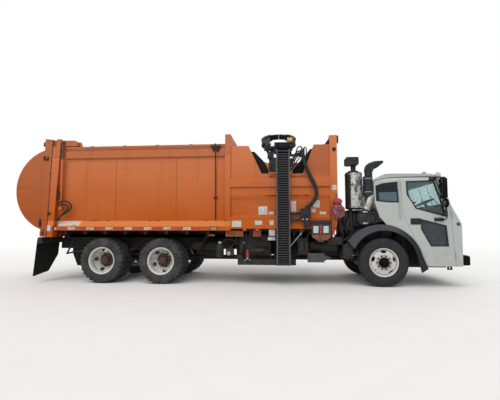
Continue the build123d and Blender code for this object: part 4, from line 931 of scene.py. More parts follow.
def cab_trim(side, way):
    """Window rubbers, handle, grip, hinges, lamps and mirror faces of one side of the cab."""
    bm = bmesh.new()
    for outline in (DOOR_WINDOW, LOWER_WINDOW):
        add_band(bm, outline, -0.007, 0.018, CLEAR, 0.0055)
        add_band(bm, outline, -0.009, -0.0005, -0.034, 0.005, 0.001)
    add_box(bm, (3.956, CLEAR, 1.338), (4.16, 0.012, 1.472), 0.005)
    add_box(bm, (3.985, 0.011, 1.368), (4.128, 0.026, 1.444), 0.008)
    add_box(bm, (4.44, CLEAR, 1.407), (4.634, 0.03, 1.48), 0.012)
    add_box(bm, (4.378, CLEAR, 2.29), (4.526, 0.034, 2.356), 0.008)
    lean(bm, way)
    finished(f"door_rubbers_{side}", bm, "rubber", f"door_{side}")

    bm = bmesh.new()
    add_band(bm, QUARTER_WINDOW, -0.007, 0.022, CLEAR, 0.0055)
    add_band(bm, QUARTER_WINDOW, -0.009, -0.0005, -0.01, 0.005, 0.001)
    lean(bm, way)
    finished(f"quarter_rubber_{side}", bm, "rubber")

    bm, leaves = bmesh.new(), bmesh.new()
    for x, z in ((4.796, 1.56), (4.85, 0.69)):
        for step in (-0.045, 0.0, 0.045):
            add_rod(bm, (x + 0.004 - step * 0.07, 0.009, z + step - 0.021),
                    (x + 0.001 - step * 0.07, 0.009, z + step + 0.021), 0.01, 14, bevel=0.002)
        add_box(leaves, (x + 0.024, CLEAR, z - 0.05), (x + 0.057, 0.005, z + 0.05), 0.002)
    lean(bm, way)
    lean(leaves, way)
    finished(f"hinge_barrels_{side}", bm, "cab", f"door_{side}")
    finished(f"hinge_leaves_{side}", leaves, "cab")

    bm = bmesh.new()
    place = Matrix.Translation((4.931, way * CAB_SIDE, 1.347)) @ Matrix.Rotation(math.radians(-90 * way), 4, "X")
    add_turned(bm, ((0.0, CLEAR), (0.036, CLEAR), (0.036, 0.008), (0.029, 0.01), (0.027, 0.006), (0.0, 0.006)), place,
               32, closed=False)
    finished(f"marker_bezel_{side}", bm, "rubber")
    bm = bmesh.new()
    add_turned(bm, ((0.0, 0.0062), (0.0265, 0.0062), (0.024, 0.012), (0.012, 0.017), (0.0, 0.018)), place, 32, False)
    finished(f"marker_lens_{side}", bm, "smoked_lens")

    bm = bmesh.new()
    dome = Matrix.Translation((4.552, way * 1.212, 2.362))
    add_turned(bm,
               ((0.0, 0.0), (0.048, 0.0), (0.053, 0.02), (0.056, 0.045), (0.05, 0.075), (0.034, 0.094),
                (0.016, 0.102), (0.0, 0.104)), dome, 36, closed=False)
    finished(f"dome_lamp_{side}", bm, "clear_lens", f"door_{side}")
    boxes(f"mirror_face_{side}", ((4.52, 4.526, way * 1.29, way * 1.47, 1.915, 2.283),), "mirror", f"door_{side}",
          bevel=0.002)
    bm = bmesh.new()
    add_box(bm, (4.5245, way * 1.272, 1.89), (4.628, way * 1.487, 2.306), 0.026)
    bowl = Matrix.Translation((4.628, way * 1.385, 1.781)) @ Matrix.Rotation(math.radians(-90), 4, "Y")
    add_turned(bm,
               ((0.0, -0.04), (0.05, -0.034), (0.086, -0.016), (0.098, 0.006), (0.098, 0.022), (0.09, 0.028),
                (0.0, 0.044)), bowl, 36, closed=False)
    finished(f"mirror_housings_{side}", bm, "bumper", f"door_{side}")

    y = way * 1.375
    tube(f"mirror_arms_{side}", [
        [(4.62, y, 1.72), (4.64, y, 1.6), (4.64, y, 1.5), (4.612, way * 1.33, 1.43), (4.58, way * 1.225, 1.44)],
        [(4.5, way * 1.185, 2.33), (4.54, way * 1.215, 2.18), (4.585, way * 1.225, 1.96), (4.6, way * 1.26, 1.86),
         (4.604, way * 1.34, 1.85)], [(4.56, way * 1.38, 2.325), (4.5, way * 1.3, 2.35), (4.47, way * 1.2, 2.33)],
    ], 0.011, "rubber", f"door_{side}")
    tube(f"grab_rail_{side}", [
        [(3.745, way * cab_wall(2.29), 2.29), (3.745, way * 1.2, 2.29), (3.745, way * 1.216, 2.24),
         (3.738, way * 1.232, 1.9), (3.738, way * 1.235, 1.54), (3.74, way * 1.23, 1.49), (3.74, way * 1.2, 1.48)],
    ], 0.01, "cab")
    tube(f"rain_gutter_{side}", [
        [(x, way * (cab_wall(z) + 0.004), z)
         for x, z in ((3.232, 2.296), (3.34, 2.33), (3.499, 2.356), (3.773, 2.371), (4.1, 2.374), (4.392, 2.375),
                      (4.545, 2.366))],
    ], 0.0065, "rubber")


def screen_x(z):
    """How far forward the windscreen stands at a height."""
    return 4.797 - (z - 1.748) * 0.2776


def steering_wheels():
    """A rim, three spokes and a hub on a raked column in front of each driving place."""
    for side, way in SIDES.items():
        bm = bmesh.new()
        place = Matrix.Translation((4.5, way * 0.56, 1.85)) @ Matrix.Rotation(math.radians(-24), 4, "Y")
        ring = [(0.205 + 0.014 * math.cos(math.radians(a)), 0.014 * math.sin(math.radians(a)))
                for a in range(0, 360, 45)]
        add_turned(bm, ring, place, 40)
        add_turned(bm, ((0.0, -0.03), (0.055, -0.03), (0.06, -0.01), (0.045, 0.006), (0.0, 0.01)), place, 28,
                   closed=False)
        for turn in (90, 210, 330):
            tip = Vector((0.2 * math.cos(math.radians(turn)), 0.2 * math.sin(math.radians(turn)), 0.0))
            add_rod(bm, place @ (tip * 0.22), place @ tip, 0.011, 12)
        add_rod(bm, place @ Vector((0.0, 0.0, -0.025)), place @ Vector((0.0, 0.0, -0.42)), 0.03, 20)
        finished(f"steering_wheel_{side}", bm, "rubber")


def cab_front():
    """Headlamps, a plain slotted grille, wipers, the windscreen's rubber and the roof's marker lamps."""
    boxes("grille_slots", [(4.994, 5.008, -0.45, 0.45, z, z + 0.02) for z in (0.86, 0.9, 0.94, 0.98, 1.02, 1.06)],
          "rubber", bevel=0.003)
    for side, way in SIDES.items():
        boxes(f"headlamp_bezel_{side}", ((4.994, 5.01, way * 0.69, way * 1.13, 0.745, 0.945),), "plastic")
        boxes(f"headlamps_{side}",
              ((5.008, 5.018, way * 0.705, way * 0.86, 0.765, 0.925),
               (5.008, 5.018, way * 0.88, way * 1.035, 0.765, 0.925)), "clear_lens", bevel=0.006)
        boxes(f"turn_lamp_{side}", ((5.008, 5.016, way * 1.05, way * 1.115, 0.765, 0.925),), "amber_lens")
        bm = bmesh.new()
        foot = (screen_x(1.745) + 0.03, way * 0.62, 1.745)
        bend = (screen_x(2.02) + 0.032, way * 0.25, 2.02)
        add_rod(bm, foot, bend, 0.008, 10, bevel=0.001)
        add_rod(bm, (foot[0] - 0.035, foot[1], foot[2]), (foot[0] + 0.014, foot[1], foot[2]), 0.022, 18, bevel=0.003)
        add_rod(bm, (screen_x(1.815) + 0.018, way * 0.25, 1.815), (screen_x(2.245) + 0.018, way * 0.25, 2.245), 0.007,
                8, bevel=0.001)
        finished(f"wiper_{side}", bm, "rubber")
    tube("screen_rubber", [
        [(screen_x(z) + 0.004, y, z)
         for y, z in ((0.0, 1.79), (-0.6, 1.79), (-1.035, 1.792), (-1.035, 1.792), (-1.008, 2.288), (-1.008, 2.288),
                      (-0.5, 2.29), (0.5, 2.29), (1.008, 2.288), (1.008, 2.288), (1.035, 1.792), (1.035, 1.792),
                      (0.6, 1.79), (0.0, 1.79))],
    ], 0.011, "rubber")
    boxes("bumper_corners", [(5.06, 5.158, way * 0.76, way * 1.172, 0.478, 0.672) for way in SIDES.values()],
          "bumper", bevel=0.018)
    bm = bmesh.new()
    for y, z in ((-0.925, 2.476), (-0.2, 2.4785), (0.0, 2.4785), (0.2, 2.4785), (0.925, 2.476)):
        place = Matrix.Translation((4.372, y, z)) @ Matrix.Diagonal((1.0, 1.35, 1.0, 1.0))
        add_turned(bm, ((0.0, 0.0), (0.046, 0.0), (0.045, 0.012), (0.034, 0.026), (0.018, 0.033), (0.0, 0.035)),
                   place, 28, closed=False)
    finished("roof_markers", bm, "amber_lens")


def silencer_shield():
    """The bright sheet round the outer side of the silencer, with its own map in metres round and up."""
    bm = bmesh.new()
    uv = bm.loops.layers.uv.new("sheet")
    low, high, start, turned = 1.705, 2.48, math.radians(-118), math.radians(190)
    section = [bm.verts.new((SILENCER_X + radius * math.cos(start), SILENCER_Y + radius * math.sin(start), z))
               for radius, z in ((0.1905, low), (0.1905, high), (0.187, high), (0.187, low))]
    first = bm.faces.new(section)
    bmesh.ops.spin(bm, geom=[first], cent=(SILENCER_X, SILENCER_Y, 0.0), axis=(0, 0, 1), angle=turned, steps=48)
    for face in bm.faces:
        for loop in face.loops:
            angle = math.atan2(loop.vert.co.y - SILENCER_Y, loop.vert.co.x - SILENCER_X)
            loop[uv].uv = (angle * 0.19, loop.vert.co.z)
    finished("silencer_shield", bm, "shield", crease=30)
    bm = bmesh.new()
    for z in (1.74, 2.446):
        add_turned(bm, ((0.1868, z - 0.009), (0.193, z - 0.009), (0.193, z + 0.009), (0.1868, z + 0.009)),
                   Matrix.Translation((SILENCER_X, SILENCER_Y, 0.0)), 56)
        add_box(bm, (2.8, -1.208, z - 0.011), (2.832, -1.19, z + 0.011), 0.003)
    finished("silencer_clamps", bm, "chrome")


def intake_details():
    """The silver slanting pipe, hose clamps, and the cover and latches of the filter drum."""
    bm = bmesh.new()
    add_rod(bm, (3.176, -1.09, 1.985), (3.05, -1.09, 1.66), 0.09, 36, bevel=0.004)
    finished("intake_pipe", bm, "silver")
    bm = bmesh.new()
    for x, z in ((3.163, 1.952), (3.06, 1.686)):
        add_rod(bm, (x + 0.005, -1.09, z + 0.012), (x - 0.005, -1.09, z - 0.012), 0.0945, 36, bevel=0.003)
    for z in (2.05, 2.345):
        add_turned(bm, ((0.1062, z - 0.008), (0.11, z - 0.008), (0.11, z + 0.008), (0.1062, z + 0.008)),
                   Matrix.Translation((3.106, -1.09, 0.0)), 40)
    finished("intake_clamps", bm, "chrome")
    bm = bmesh.new()
    place = Matrix.Translation((3.016, -1.1203, 1.483)) @ Matrix.Rotation(math.radians(90), 4, "X")
    add_turned(bm,
               ((0.0, 0.01), (0.06, 0.01), (0.075, 0.004), (0.12, 0.004), (0.135, 0.016), (0.158, 0.016),
                (0.166, 0.008), (0.166, 0.0), (0.0, 0.0)), place, 56, closed=False)
    finished("filter_cover", bm, "intake")
    boxes("filter_latches", ((2.975, 3.075, -1.15, -1.128, 1.6, 1.63), (2.975, 3.075, -1.15, -1.128, 1.35, 1.38)),
          "chrome", bevel=0.004)


def post_details():
    """Black grommet, corner bracket and brace at the top of the hopper's front post, and the leg's hole."""
    for side, way in SIDES.items():
        bm = bmesh.new()
        y = way * BODY_SIDE
        add_rod(bm, (2.369, y + way * CLEAR, 3.0), (2.369, y + way * 0.014, 3.0), 0.043, 30, bevel=0.005)
        add_rod(bm, (2.369, y + way * 0.013, 3.0), (2.369, y + way * 0.03, 3.0), 0.022, 20, bevel=0.005)
        add_rod(bm, (2.345, y + way * CLEAR, 1.262), (2.345, y + way * 0.002, 1.262), 0.02, 20)
        add_box(bm, (2.4323, way * 1.11, 3.15), (2.47, way * 1.205, 3.312), 0.008)
        finished(f"post_fittings_{side}", bm, "rubber")
        bm = bmesh.new()
        add_plate(bm, ((2.165, 3.1203), (2.27, 3.268), (2.27, 3.1203)), way * 1.11, way * 1.15)
        finished(f"post_brace_{side}", bm, "arm")


def lamp_boxes():
    """What the boxes outside the hopper carry: twin pale lamps, their frame and tray, ribs, lens and strut."""
    boxes("valve_lamps",
          ((1.876, 2.008, -1.329, -1.3203, 1.145, 1.318), (2.09, 2.222, -1.329, -1.3203, 1.145, 1.318)), "pale_plate",
          bevel=0.004)
    bm = bmesh.new()
    for x in (1.942, 2.156):
        square = ((x - 0.066, 1.145), (x + 0.066, 1.145), (x + 0.066, 1.318), (x - 0.066, 1.318))
        add_band(bm, square, -0.01, 0.012, -1.331, -1.3203)
    add_box(bm, (1.833, -1.331, 1.3403), (2.281, -1.2053, 1.43), 0.006)
    for x in (1.875, 1.96, 2.08, 2.165, 2.24):
        add_rod(bm, (x, -1.331, 1.385), (x, -1.34, 1.385), 0.012, 6, bevel=0.002)
    finished("lamp_frames", bm, "rubber")
    boxes("lamp_red_centre", ((2.024, 2.074, -1.33, -1.3203, 1.15, 1.29),), "red_lens", bevel=0.004)
    bm = bmesh.new()
    add_plate(bm, ((1.861, 1.1157), (2.25, 1.1157), (2.25, 1.07), (2.169, 1.0), (1.958, 1.0), (1.861, 1.07)), -1.318,
              -1.255)
    finished("lamp_tray", bm, "rust")
    bm = bmesh.new()
    for index in range(12):
        x = 1.79 + index * 0.0295
        add_box(bm, (x, -1.1085, 0.515), (x + 0.013, -1.0998, 0.699), 0.002)
    add_rod(bm, (2.1383, -1.0, 0.604), (2.29, -1.0, 0.604), 0.075, 28, tip=0.014, bevel=0.004)
    finished("box_ribs", bm, "box")
    boxes("work_lamp_lens", ((0.928, 1.06, -1.178, -1.1703, 1.092, 1.232),), "pale_plate", bevel=0.005)
    boxes("work_lamp_base", ((0.9, 1.066, -1.199, -1.1703, 0.99, 1.06),), "pale_plate", bevel=0.012)


def notch_strips():
    """Worn orange strips on the notch's guards, on both sides of the mast."""
    bm = bmesh.new()
    for outline in (((0.831, 2.739), (0.875, 2.739), (0.979, 2.561), (0.935, 2.535)),
                    ((1.404, 2.555), (1.543, 2.71), (1.559, 2.657), (1.455, 2.537))):
        add_plate(bm, outline, -1.189, -1.184, 0.001)
    finished("notch_strips", bm, "body")


def mast_stay():
    """The valve under the hose box, and the thin stay from it down to the mast's rail."""
    boxes("mast_valve", ((1.69, 1.81, -1.33, -1.262, 1.27, 1.4), (1.64, 1.78, -1.325, -1.272, 1.39, 1.4727)), "arm",
          "mast", bevel=0.01)
    tube("mast_stay", [[(1.742, -1.3, 1.29), (1.57, -1.3, 1.083), (1.394, -1.296, 0.868)]], 0.008, "silver", "mast")
    tube("mast_stay_sleeve", [[(1.742, -1.3, 1.29), (1.64, -1.3, 1.166)]], 0.014, "rubber", "mast")


ENGINE_BOXES = (
    (2.56, 3.23, -0.98, -0.2, 1.3, 1.6), (2.64, 3.16, -0.93, 0.7, 1.58, 1.66), (2.5, 2.6, -0.9, -0.35, 1.05, 1.48),
    (2.62, 3.18, -0.8, -0.35, 1.1, 1.31), (2.47, 2.56, -1.05, -0.7, 1.24, 1.38),
    (3.15, 3.26, -1.13, -0.56, 1.35, 1.56), (1.44, 2.62, -0.34, 0.34, 0.6, 0.86),
    (1.43, 1.6, -0.47, 0.47, 0.59, 0.79), (2.56, 2.95, -0.4, 0.4, 0.64, 1.1), (0.1, 0.25, -0.4, 0.4, 0.59, 0.78),
    (-0.72, -0.38, -0.4, 0.4, 0.58, 0.76),
)
UNDER_BOXES = (
    (0.24, 0.96, -0.96, -0.48, 0.64, 1.12), (0.13, 0.25, -0.9, -0.43, 0.88, 1.01),
    (1.56, 1.79, -1.11, -0.56, 0.68, 1.04), (1.56, 1.79, -0.565, -0.43, 0.86, 0.96),
    (2.545, 2.755, -1.12, -0.5, 0.595, 0.902), (2.6, 2.7, -0.505, -0.43, 0.76, 0.88),
    (-0.06, 0.11, -1.06, -0.9, 0.64, 0.8), (-0.02, 0.06, -0.905, -0.43, 0.78, 0.85),
    (1.6, 1.66, -1.212, -1.16, 1.1, 1.245), (1.86, 2.5, -0.72, -0.43, 0.76, 0.84),
    (2.2, 2.52, -1.14, -0.9, 0.9, 1.06), (2.23, 2.29, -0.905, -0.43, 0.93, 0.99),
)
UNDER_CANS = (
    ((-0.2, -1.01, 0.606), (-0.2, -1.01, 0.88), 0.088), ((-0.2, -1.01, 0.878), (-0.2, -1.01, 0.904), 0.062),
    ((1.82, -0.86, 0.86), (2.44, -0.86, 0.86), 0.125), ((-0.9, -0.64, 0.86), (-0.3, -0.64, 0.86), 0.12),
    ((0.3, -1.06, 0.7), (0.3, -1.06, 0.9), 0.045), ((0.56, -1.05, 0.76), (0.82, -1.05, 0.76), 0.05),
    ((1.64, -1.15, 0.76), (1.64, -1.15, 0.98), 0.042), ((1.74, -1.15, 0.78), (1.74, -1.15, 0.96), 0.032),
)
OIL_LINES = (
    ((-0.15, -1.01, 0.9), (-0.14, -1.02, 0.98), (0.02, -1.03, 1.01), (0.18, -1.0, 0.96), (0.24, -0.96, 0.96)),
    ((0.1, -1.05, 0.7), (0.18, -1.06, 0.6), (0.32, -1.06, 0.54), (0.48, -1.04, 0.53), (0.56, -1.0, 0.6),
     (0.56, -0.95, 0.65)), ((0.05, -1.05, 0.79), (0.12, -1.07, 0.9), (0.2, -1.07, 1.02), (0.22, -1.06, 1.207)),
    ((0.4, -1.06, 1.207), (0.42, -1.07, 1.0), (0.36, -1.07, 0.85), (0.42, -1.06, 0.72), (0.52, -1.06, 0.62),
     (0.56, -0.99, 0.6), (0.56, -0.955, 0.66)),
    ((0.5, -1.05, 1.248), (0.52, -1.06, 1.05), (0.64, -1.07, 0.92), (0.8, -1.06, 0.84), (0.9, -0.965, 0.82)),
    ((0.7, -1.05, 1.248), (0.72, -1.06, 1.12), (0.82, -1.06, 1.0), (0.93, -1.04, 0.96), (0.96, -0.94, 0.96)),
    ((0.82, -1.05, 0.76), (0.9, -1.05, 0.72), (0.96, -1.04, 0.6), (1.01, -1.0, 0.52)),
    ((1.64, -1.15, 0.98), (1.63, -1.17, 1.04), (1.63, -1.185, 1.104)),
    ((1.74, -1.15, 0.96), (1.76, -1.18, 1.06), (1.8, -1.24, 1.16), (1.86, -1.26, 1.18)),
    ((1.56, -1.0, 0.96), (1.5, -1.06, 0.98), (1.47, -1.1, 1.08), (1.52, -1.15, 1.2), (1.6, -1.2, 1.262)),
    ((1.79, -1.0, 0.76), (1.9, -1.06, 0.82), (2.05, -1.08, 0.85), (2.2, -1.05, 0.96)),
    ((2.3, -1.1, 1.06), (2.33, -1.14, 1.15), (2.28, -1.19, 1.2), (2.262, -1.24, 1.2)),
    ((2.45, -1.1, 0.96), (2.56, -1.12, 1.0), (2.66, -1.1, 1.06), (2.74, -1.0, 1.12), (2.74, -1.0, 1.24)),
    ((2.42, -1.18, 1.5), (2.46, -1.2, 1.38), (2.5, -1.19, 1.24), (2.56, -1.12, 1.1), (2.56, -1.0, 0.902)),
)


def under_hopper():
    """Oil tank, valves, air tanks, filter cans and their fixed lines between the frame and the hopper."""
    boxes("underbody_boxes", UNDER_BOXES, "chassis", bevel=0.008)
    boxes("engine_covers", ENGINE_BOXES, "chassis", bevel=0.03)
    tube("engine_ducts", (
        ((2.56, -0.9, 1.45), (2.5, -1.02, 1.42), (2.48, -1.08, 1.33), (2.5, -1.06, 1.18), (2.56, -0.95, 1.08)),
        ((2.7, -0.96, 1.5), (2.69, -1.08, 1.47), (2.64, -1.13, 1.33), (2.62, -1.1, 1.18), (2.64, -0.9, 1.1)),
        ((3.18, -1.0, 1.4), (3.26, -1.12, 1.44), (3.25, -1.15, 1.56), (3.18, -1.12, 1.62)),
        ((3.23, -1.05, 1.5), (3.3, -1.1, 1.54), (3.3, -1.06, 1.64), (3.2, -0.95, 1.65)),
    ), 0.034, "rubber")
    bm = bmesh.new()
    for start, end, radius in UNDER_CANS:
        add_rod(bm, start, end, radius, 32, bevel=radius * 0.12)
    finished("underbody_cans", bm, "chassis")
    tube("oil_lines", OIL_LINES, 0.013, "rubber")
    boxes("hopper_beams",
          ((-0.054, 0.35, -1.15, -1.08, 1.07, 1.2067), (0.566, 0.746, -1.15, -1.08, 1.07, 1.2477),
           (-0.458, -0.3, -1.15, -1.08, 1.08, 1.1197)), "rust", bevel=0.006)
    boxes("hopper_tabs", ((0.35, 0.418, -1.214, -1.206, 1.2, 1.2477), (0.631, 0.699, -1.214, -1.206, 1.2, 1.2477)),
          "body", bevel=0.002)
    bm = bmesh.new()
    add_rod(bm, (0.436, -1.065, 0.6), (0.436, -1.065, 0.73), 0.04, 28, bevel=0.008)
    add_rod(bm, (0.436, -1.065, 0.729), (0.436, -1.065, 0.78), 0.028, 24, tip=0.014, bevel=0.003)
    finished("red_filter", bm, "red_paint")
    bm = bmesh.new()
    add_rod(bm, (0.436, -1.065, 0.56), (0.436, -1.065, 0.601), 0.032, 24, bevel=0.004)
    for x, z in ((0.375, 0.54), (0.49, 0.548), (0.01, 0.69), (0.345, 0.93), (2.23, 0.94), (2.64, 0.905)):
        add_rod(bm, (x, -1.06, z - 0.016), (x, -1.06, z + 0.016), 0.016, 6, bevel=0.003)
    add_rod(bm, (0.01, -1.0603, 0.69), (0.01, -1.082, 0.69), 0.044, 28, bevel=0.006)
    add_rod(bm, (-0.2, -1.01, 0.9035), (-0.2, -1.01, 0.955), 0.05, 28, bevel=0.008)
    finished("pale_fittings", bm, "silver")
    for side, way in SIDES.items():
        boxes(f"body_sills_{side}", ((-4.33, 2.2, way * 0.35, way * 0.43, 1.0203, 1.119),), "chassis", bevel=0.004)
        tube(f"flap_struts_{side}",
             [[(-3.857, way * 0.76, 1.0), (-3.915, way * 0.8, 0.83), (-3.98, way * 0.85, 0.64)],
              [(-3.985, way * 0.85, 0.645), (-3.8, way * 0.85, 0.69), (-3.6, way * 0.78, 0.72)]], 0.02, "rubber")
        boxes(f"flap_hanger_{side}", ((-4.5003, -4.42, way * 0.33, way * 1.19, 1.0155, 1.044),), "chassis",
              bevel=0.004)


def tank_straps():
    """Straps, a filler cap and the lid's lip on the road side's tank and battery box."""
    rows = []
    for x in (0.42, 0.9, 1.38):
        rows += [(x - 0.025, x + 0.025, 1.1203, 1.1243, 0.556, 1.0043),
                 (x - 0.025, x + 0.025, 0.5, 1.1243, 1.0003, 1.0043)]
    boxes("tank_straps", rows, "chrome", bevel=0.001)
    boxes("battery_lid", ((1.742, 2.258, 0.49, 1.108, 0.93, 1.008), (1.96, 2.04, 1.1083, 1.12, 0.88, 0.96)),
          "plastic", bevel=0.006)
    bm = bmesh.new()
    add_rod(bm, (0.64, 1.02, 1.0003), (0.64, 1.02, 1.05), 0.052, 32, bevel=0.006)
    finished("filler_cap", bm, "chrome")


# The bent hoses at the lift cylinders: their length, and the points of their route on the left side
LOOPS = (
    (0.88,
     ((-3.985, 1.215, 1.862), (-3.93, 1.232, 1.88), (-3.82, 1.235, 1.895), (-3.69, 1.235, 1.83),
      (-3.668, 1.235, 1.72), (-3.77, 1.235, 1.62), (-3.93, 1.235, 1.545), (-4.02, 1.232, 1.47),
      (-4.035, 1.212, 1.434))),
    (0.67,
     ((-3.985, 1.215, 1.802), (-3.9, 1.232, 1.812), (-3.8, 1.235, 1.806), (-3.742, 1.235, 1.75),
      (-3.765, 1.235, 1.68), (-3.87, 1.235, 1.6), (-3.97, 1.232, 1.51), (-3.99, 1.212, 1.434))),
)


def gate_details():
    """Corner lamps, low turn latches and the cylinder hoses at both edges of the tailgate."""
    for side, way in SIDES.items():
        face = way * BODY_SIDE
        boxes(f"corner_lamp_{side}", ((-4.445, -4.3905, way * 1.11, way * 1.205, 3.2, 3.305),), "plastic", "gate",
              0.008)
        boxes(f"corner_lens_{side}", ((-4.455, -4.444, way * 1.122, way * 1.193, 3.214, 3.292),), "red_lens", "gate",
              bevel=0.004)
        bm = bmesh.new()
        add_rod(bm, (-4.362, face + way * CLEAR, 1.152), (-4.362, face + way * 0.03, 1.152), 0.03, 24, bevel=0.005)
        add_rod(bm, (-4.362, face + way * CLEAR, 1.215), (-4.362, face + way * 0.022, 1.215), 0.016, 6, bevel=0.002)
        add_box(bm, (-4.392, min(face, face + way * 0.014) + CLEAR * max(way, 0), 1.1),
                (-4.332, max(face, face + way * 0.014), 1.136), 0.004)
        for x, z in ((-4.243, 2.545), (-4.046, 2.24)):
            add_rod(bm, (x, face + way * CLEAR, z), (x, face + way * 0.014, z), 0.016, 6, bevel=0.002)
        finished(f"low_latch_{side}", bm, "nuts", "gate")
        for number, (length, route) in enumerate(LOOPS, 1):
            hose(f"cylinder_hose_{number}_{side}", [(x, way * y, z) for x, y, z in route], 0.036, "rubber")
        tube(f"cylinder_lines_{side}", [
            [(x, way * 1.226, 1.93), (x, way * 1.234, 1.97), (x, way * 1.234, high),
             (x + 0.02, way * 1.215, high + 0.03)] for x, high in ((-4.03, 2.2), (-3.994, 2.06))
        ], 0.017, "rubber", "barrels")


def tipped(name, bm, finish, body):
    """Finish what is drawn in the gripping pose, put where the head rests."""
    rest = Matrix.Translation((0.0, -1.3, HEAD_Z)) @ Matrix.Rotation(-ROLL, 4, "X")
    bmesh.ops.transform(bm, matrix=rest, verts=bm.verts)
    finished(name, bm, finish, body)


def round_gripper(radius, angle, z):
    """A point at a radius and an angle in degrees from the gripper's middle."""
    turn = math.radians(angle)
    return (GRIP_X + radius * math.cos(turn), GRIP_Y + radius * math.sin(turn), z)


def add_arc(bm, inner, outer, z0, z1, start, end):
    """A block bent round the gripper's middle, between two radii and two angles in degrees."""
    outline = [round_gripper(inner, start + (end - start) * step / 24, z0) for step in range(25)]
    outline += [round_gripper(outer, end + (start - end) * step / 24, z0) for step in range(25)]
    add_prism(bm, outline, (0.0, 0.0, z1 - z0))


def gripper_details():
    """Rubber pads, stiffening flanges, bolts, the yellow cap and the cross cylinder on the gripper."""
    for name, body, middle in (("rear", "finger_r", 180), ("front", "finger_f", 0)):
        bm = bmesh.new()
        way = math.cos(math.radians(middle))
        face = [(GRIP_X + way * 0.2, GRIP_Y + y, -0.054) for y in (-0.205, 0.205)]
        rim = [round_gripper(0.3497, middle + turn, -0.054)
               for turn in (range(52, -53, -8) if way > 0 else range(-52, 53, 8))]
        add_prism(bm, face + rim, (0.0, 0.0, 0.108))
        tipped(f"finger_pad_{name}", bm, "rubber", body)
        bm = bmesh.new()
        for low, high in ((0.0603, 0.072), (-0.072, -0.0603)):
            add_arc(bm, 0.33, 0.408, low, high, middle - 62, middle + 62)
        for step in range(7):
            angle = middle - 48 + 16 * step
            add_rod(bm, round_gripper(0.37, angle, -0.084), round_gripper(0.37, angle, 0.084), 0.013, 6, bevel=0.002)
        tipped(f"finger_flanges_{name}", bm, "arm", body)
    bm = bmesh.new()
    add_box(bm, (1.345, -0.56, -0.122), (1.462, -0.372, -0.0723), 0.014)
    tipped("yellow_cap", bm, "yellow", "finger_f")
    bm = bmesh.new()
    add_rod(bm, (0.96, -0.165, 0.083), (1.33, -0.165, 0.083), 0.034, 28, bevel=0.005)
    add_rod(bm, (0.905, -0.165, 0.083), (1.385, -0.165, 0.083), 0.016, 20, bevel=0.002)
    for x in (0.905, 1.385):
        add_rod(bm, (x, -0.165, 0.06), (x, -0.165, 0.106), 0.027, 22, bevel=0.003)
    for x in (1.02, 1.27):
        add_box(bm, (x - 0.02, -0.205, 0.04), (x + 0.02, -0.141, 0.12), 0.004)
    tipped("gripper_cylinder", bm, "arm", "gripper")


def head_details():
    """Hoses, fittings and bolts at the mast's head, and what the hose box and the mast's foot carry."""
    ends = (-1.33, 2.955), (-1.295, 2.955), (-1.33, 2.915), (-1.295, 2.905), (-1.32, 2.88)
    tube("head_hoses", [
        [(1.64, y, z), (1.56, y, z), (1.49, y, z - 0.09), (1.462, y, z - 0.19), (MAST_EDGE, y, z - 0.24)]
        for y, z in ends
    ] + [
        [(1.66, -1.33, 2.99), (1.658, -1.34, 3.045), (1.59, -1.34, 3.05), (1.545, -1.33, 2.99), (1.53, -1.32, 2.9),
         (1.47, -1.31, 2.8), (MAST_EDGE, -1.31, 2.69)],
        [(1.68, -1.32, 2.87), (1.66, -1.33, 2.76), (1.56, -1.33, 2.64), (1.48, -1.32, 2.6), (MAST_EDGE, -1.31, 2.6)],
        [(1.64, -1.3, 2.87), (1.6, -1.31, 2.78), (1.54, -1.32, 2.72), (1.46, -1.32, 2.54), (MAST_EDGE, -1.31, 2.5)],
        [(1.61, -1.33, 2.87), (1.56, -1.34, 2.83), (1.5, -1.34, 2.74), (1.48, -1.33, 2.64), (1.43, -1.31, 2.56),
         (MAST_EDGE, -1.3, 2.55)],
        [(1.7, -1.3, 2.99), (1.712, -1.31, 3.04), (1.755, -1.32, 3.02), (1.76, -1.325, 2.92), (1.74, -1.32, 2.8)],
    ], 0.013, "rubber", "mast")
    bm = bmesh.new()
    for x, y in ((1.66, -1.33), (1.7, -1.3), (1.66, -1.28), (1.7, -1.335)):
        add_rod(bm, (x, y, 2.988), (x, y, 3.02), 0.017, 6, bevel=0.003)
    for y, z in ends:
        add_rod(bm, (1.616, y, z), (1.642, y, z), 0.018, 6, bevel=0.003)
    for z in (2.56, 2.64, 2.78, 2.86):
        add_rod(bm, (1.03, -1.3503, z), (1.03, -1.362, z), 0.014, 6, bevel=0.002)
    for x in (1.64, 1.804):
        for z in (1.498, 1.662):
            add_rod(bm, (x, -1.3603, z), (x, -1.37, z), 0.012, 6, bevel=0.002)
    add_box(bm, (1.63, -1.366, 1.52), (1.812, -1.3603, 1.64), 0.003)
    finished("head_fittings", bm, "arm", "mast")
    boxes("mast_bracket",
          ((MAST_EDGE, 1.612, -1.29, -1.2503, 1.408, 1.47), (MAST_EDGE, 1.43, -1.3, -1.24, 1.38, 1.5)), "arm", "mast")
    boxes("box_fittings", ((1.65, 1.69, -1.34, -1.3, 1.44, 1.4727), (1.73, 1.775, -1.34, -1.3, 1.434, 1.4727)),
          "silver", "mast", bevel=0.006)
    boxes("mast_column", ((0.935, 1.0945, -1.312, -1.262, 2.5, 2.822), (1.3957, 1.468, -1.33, -1.262, 2.6, 2.8)),
          "arm", "mast", bevel=0.014)
    boxes("drive_cover", ((0.905, 0.9897, -1.345, -1.262, 2.79, 2.925), (0.93, 0.9897, -1.34, -1.266, 2.56, 2.64)),
          "arm", "mast", bevel=0.012)


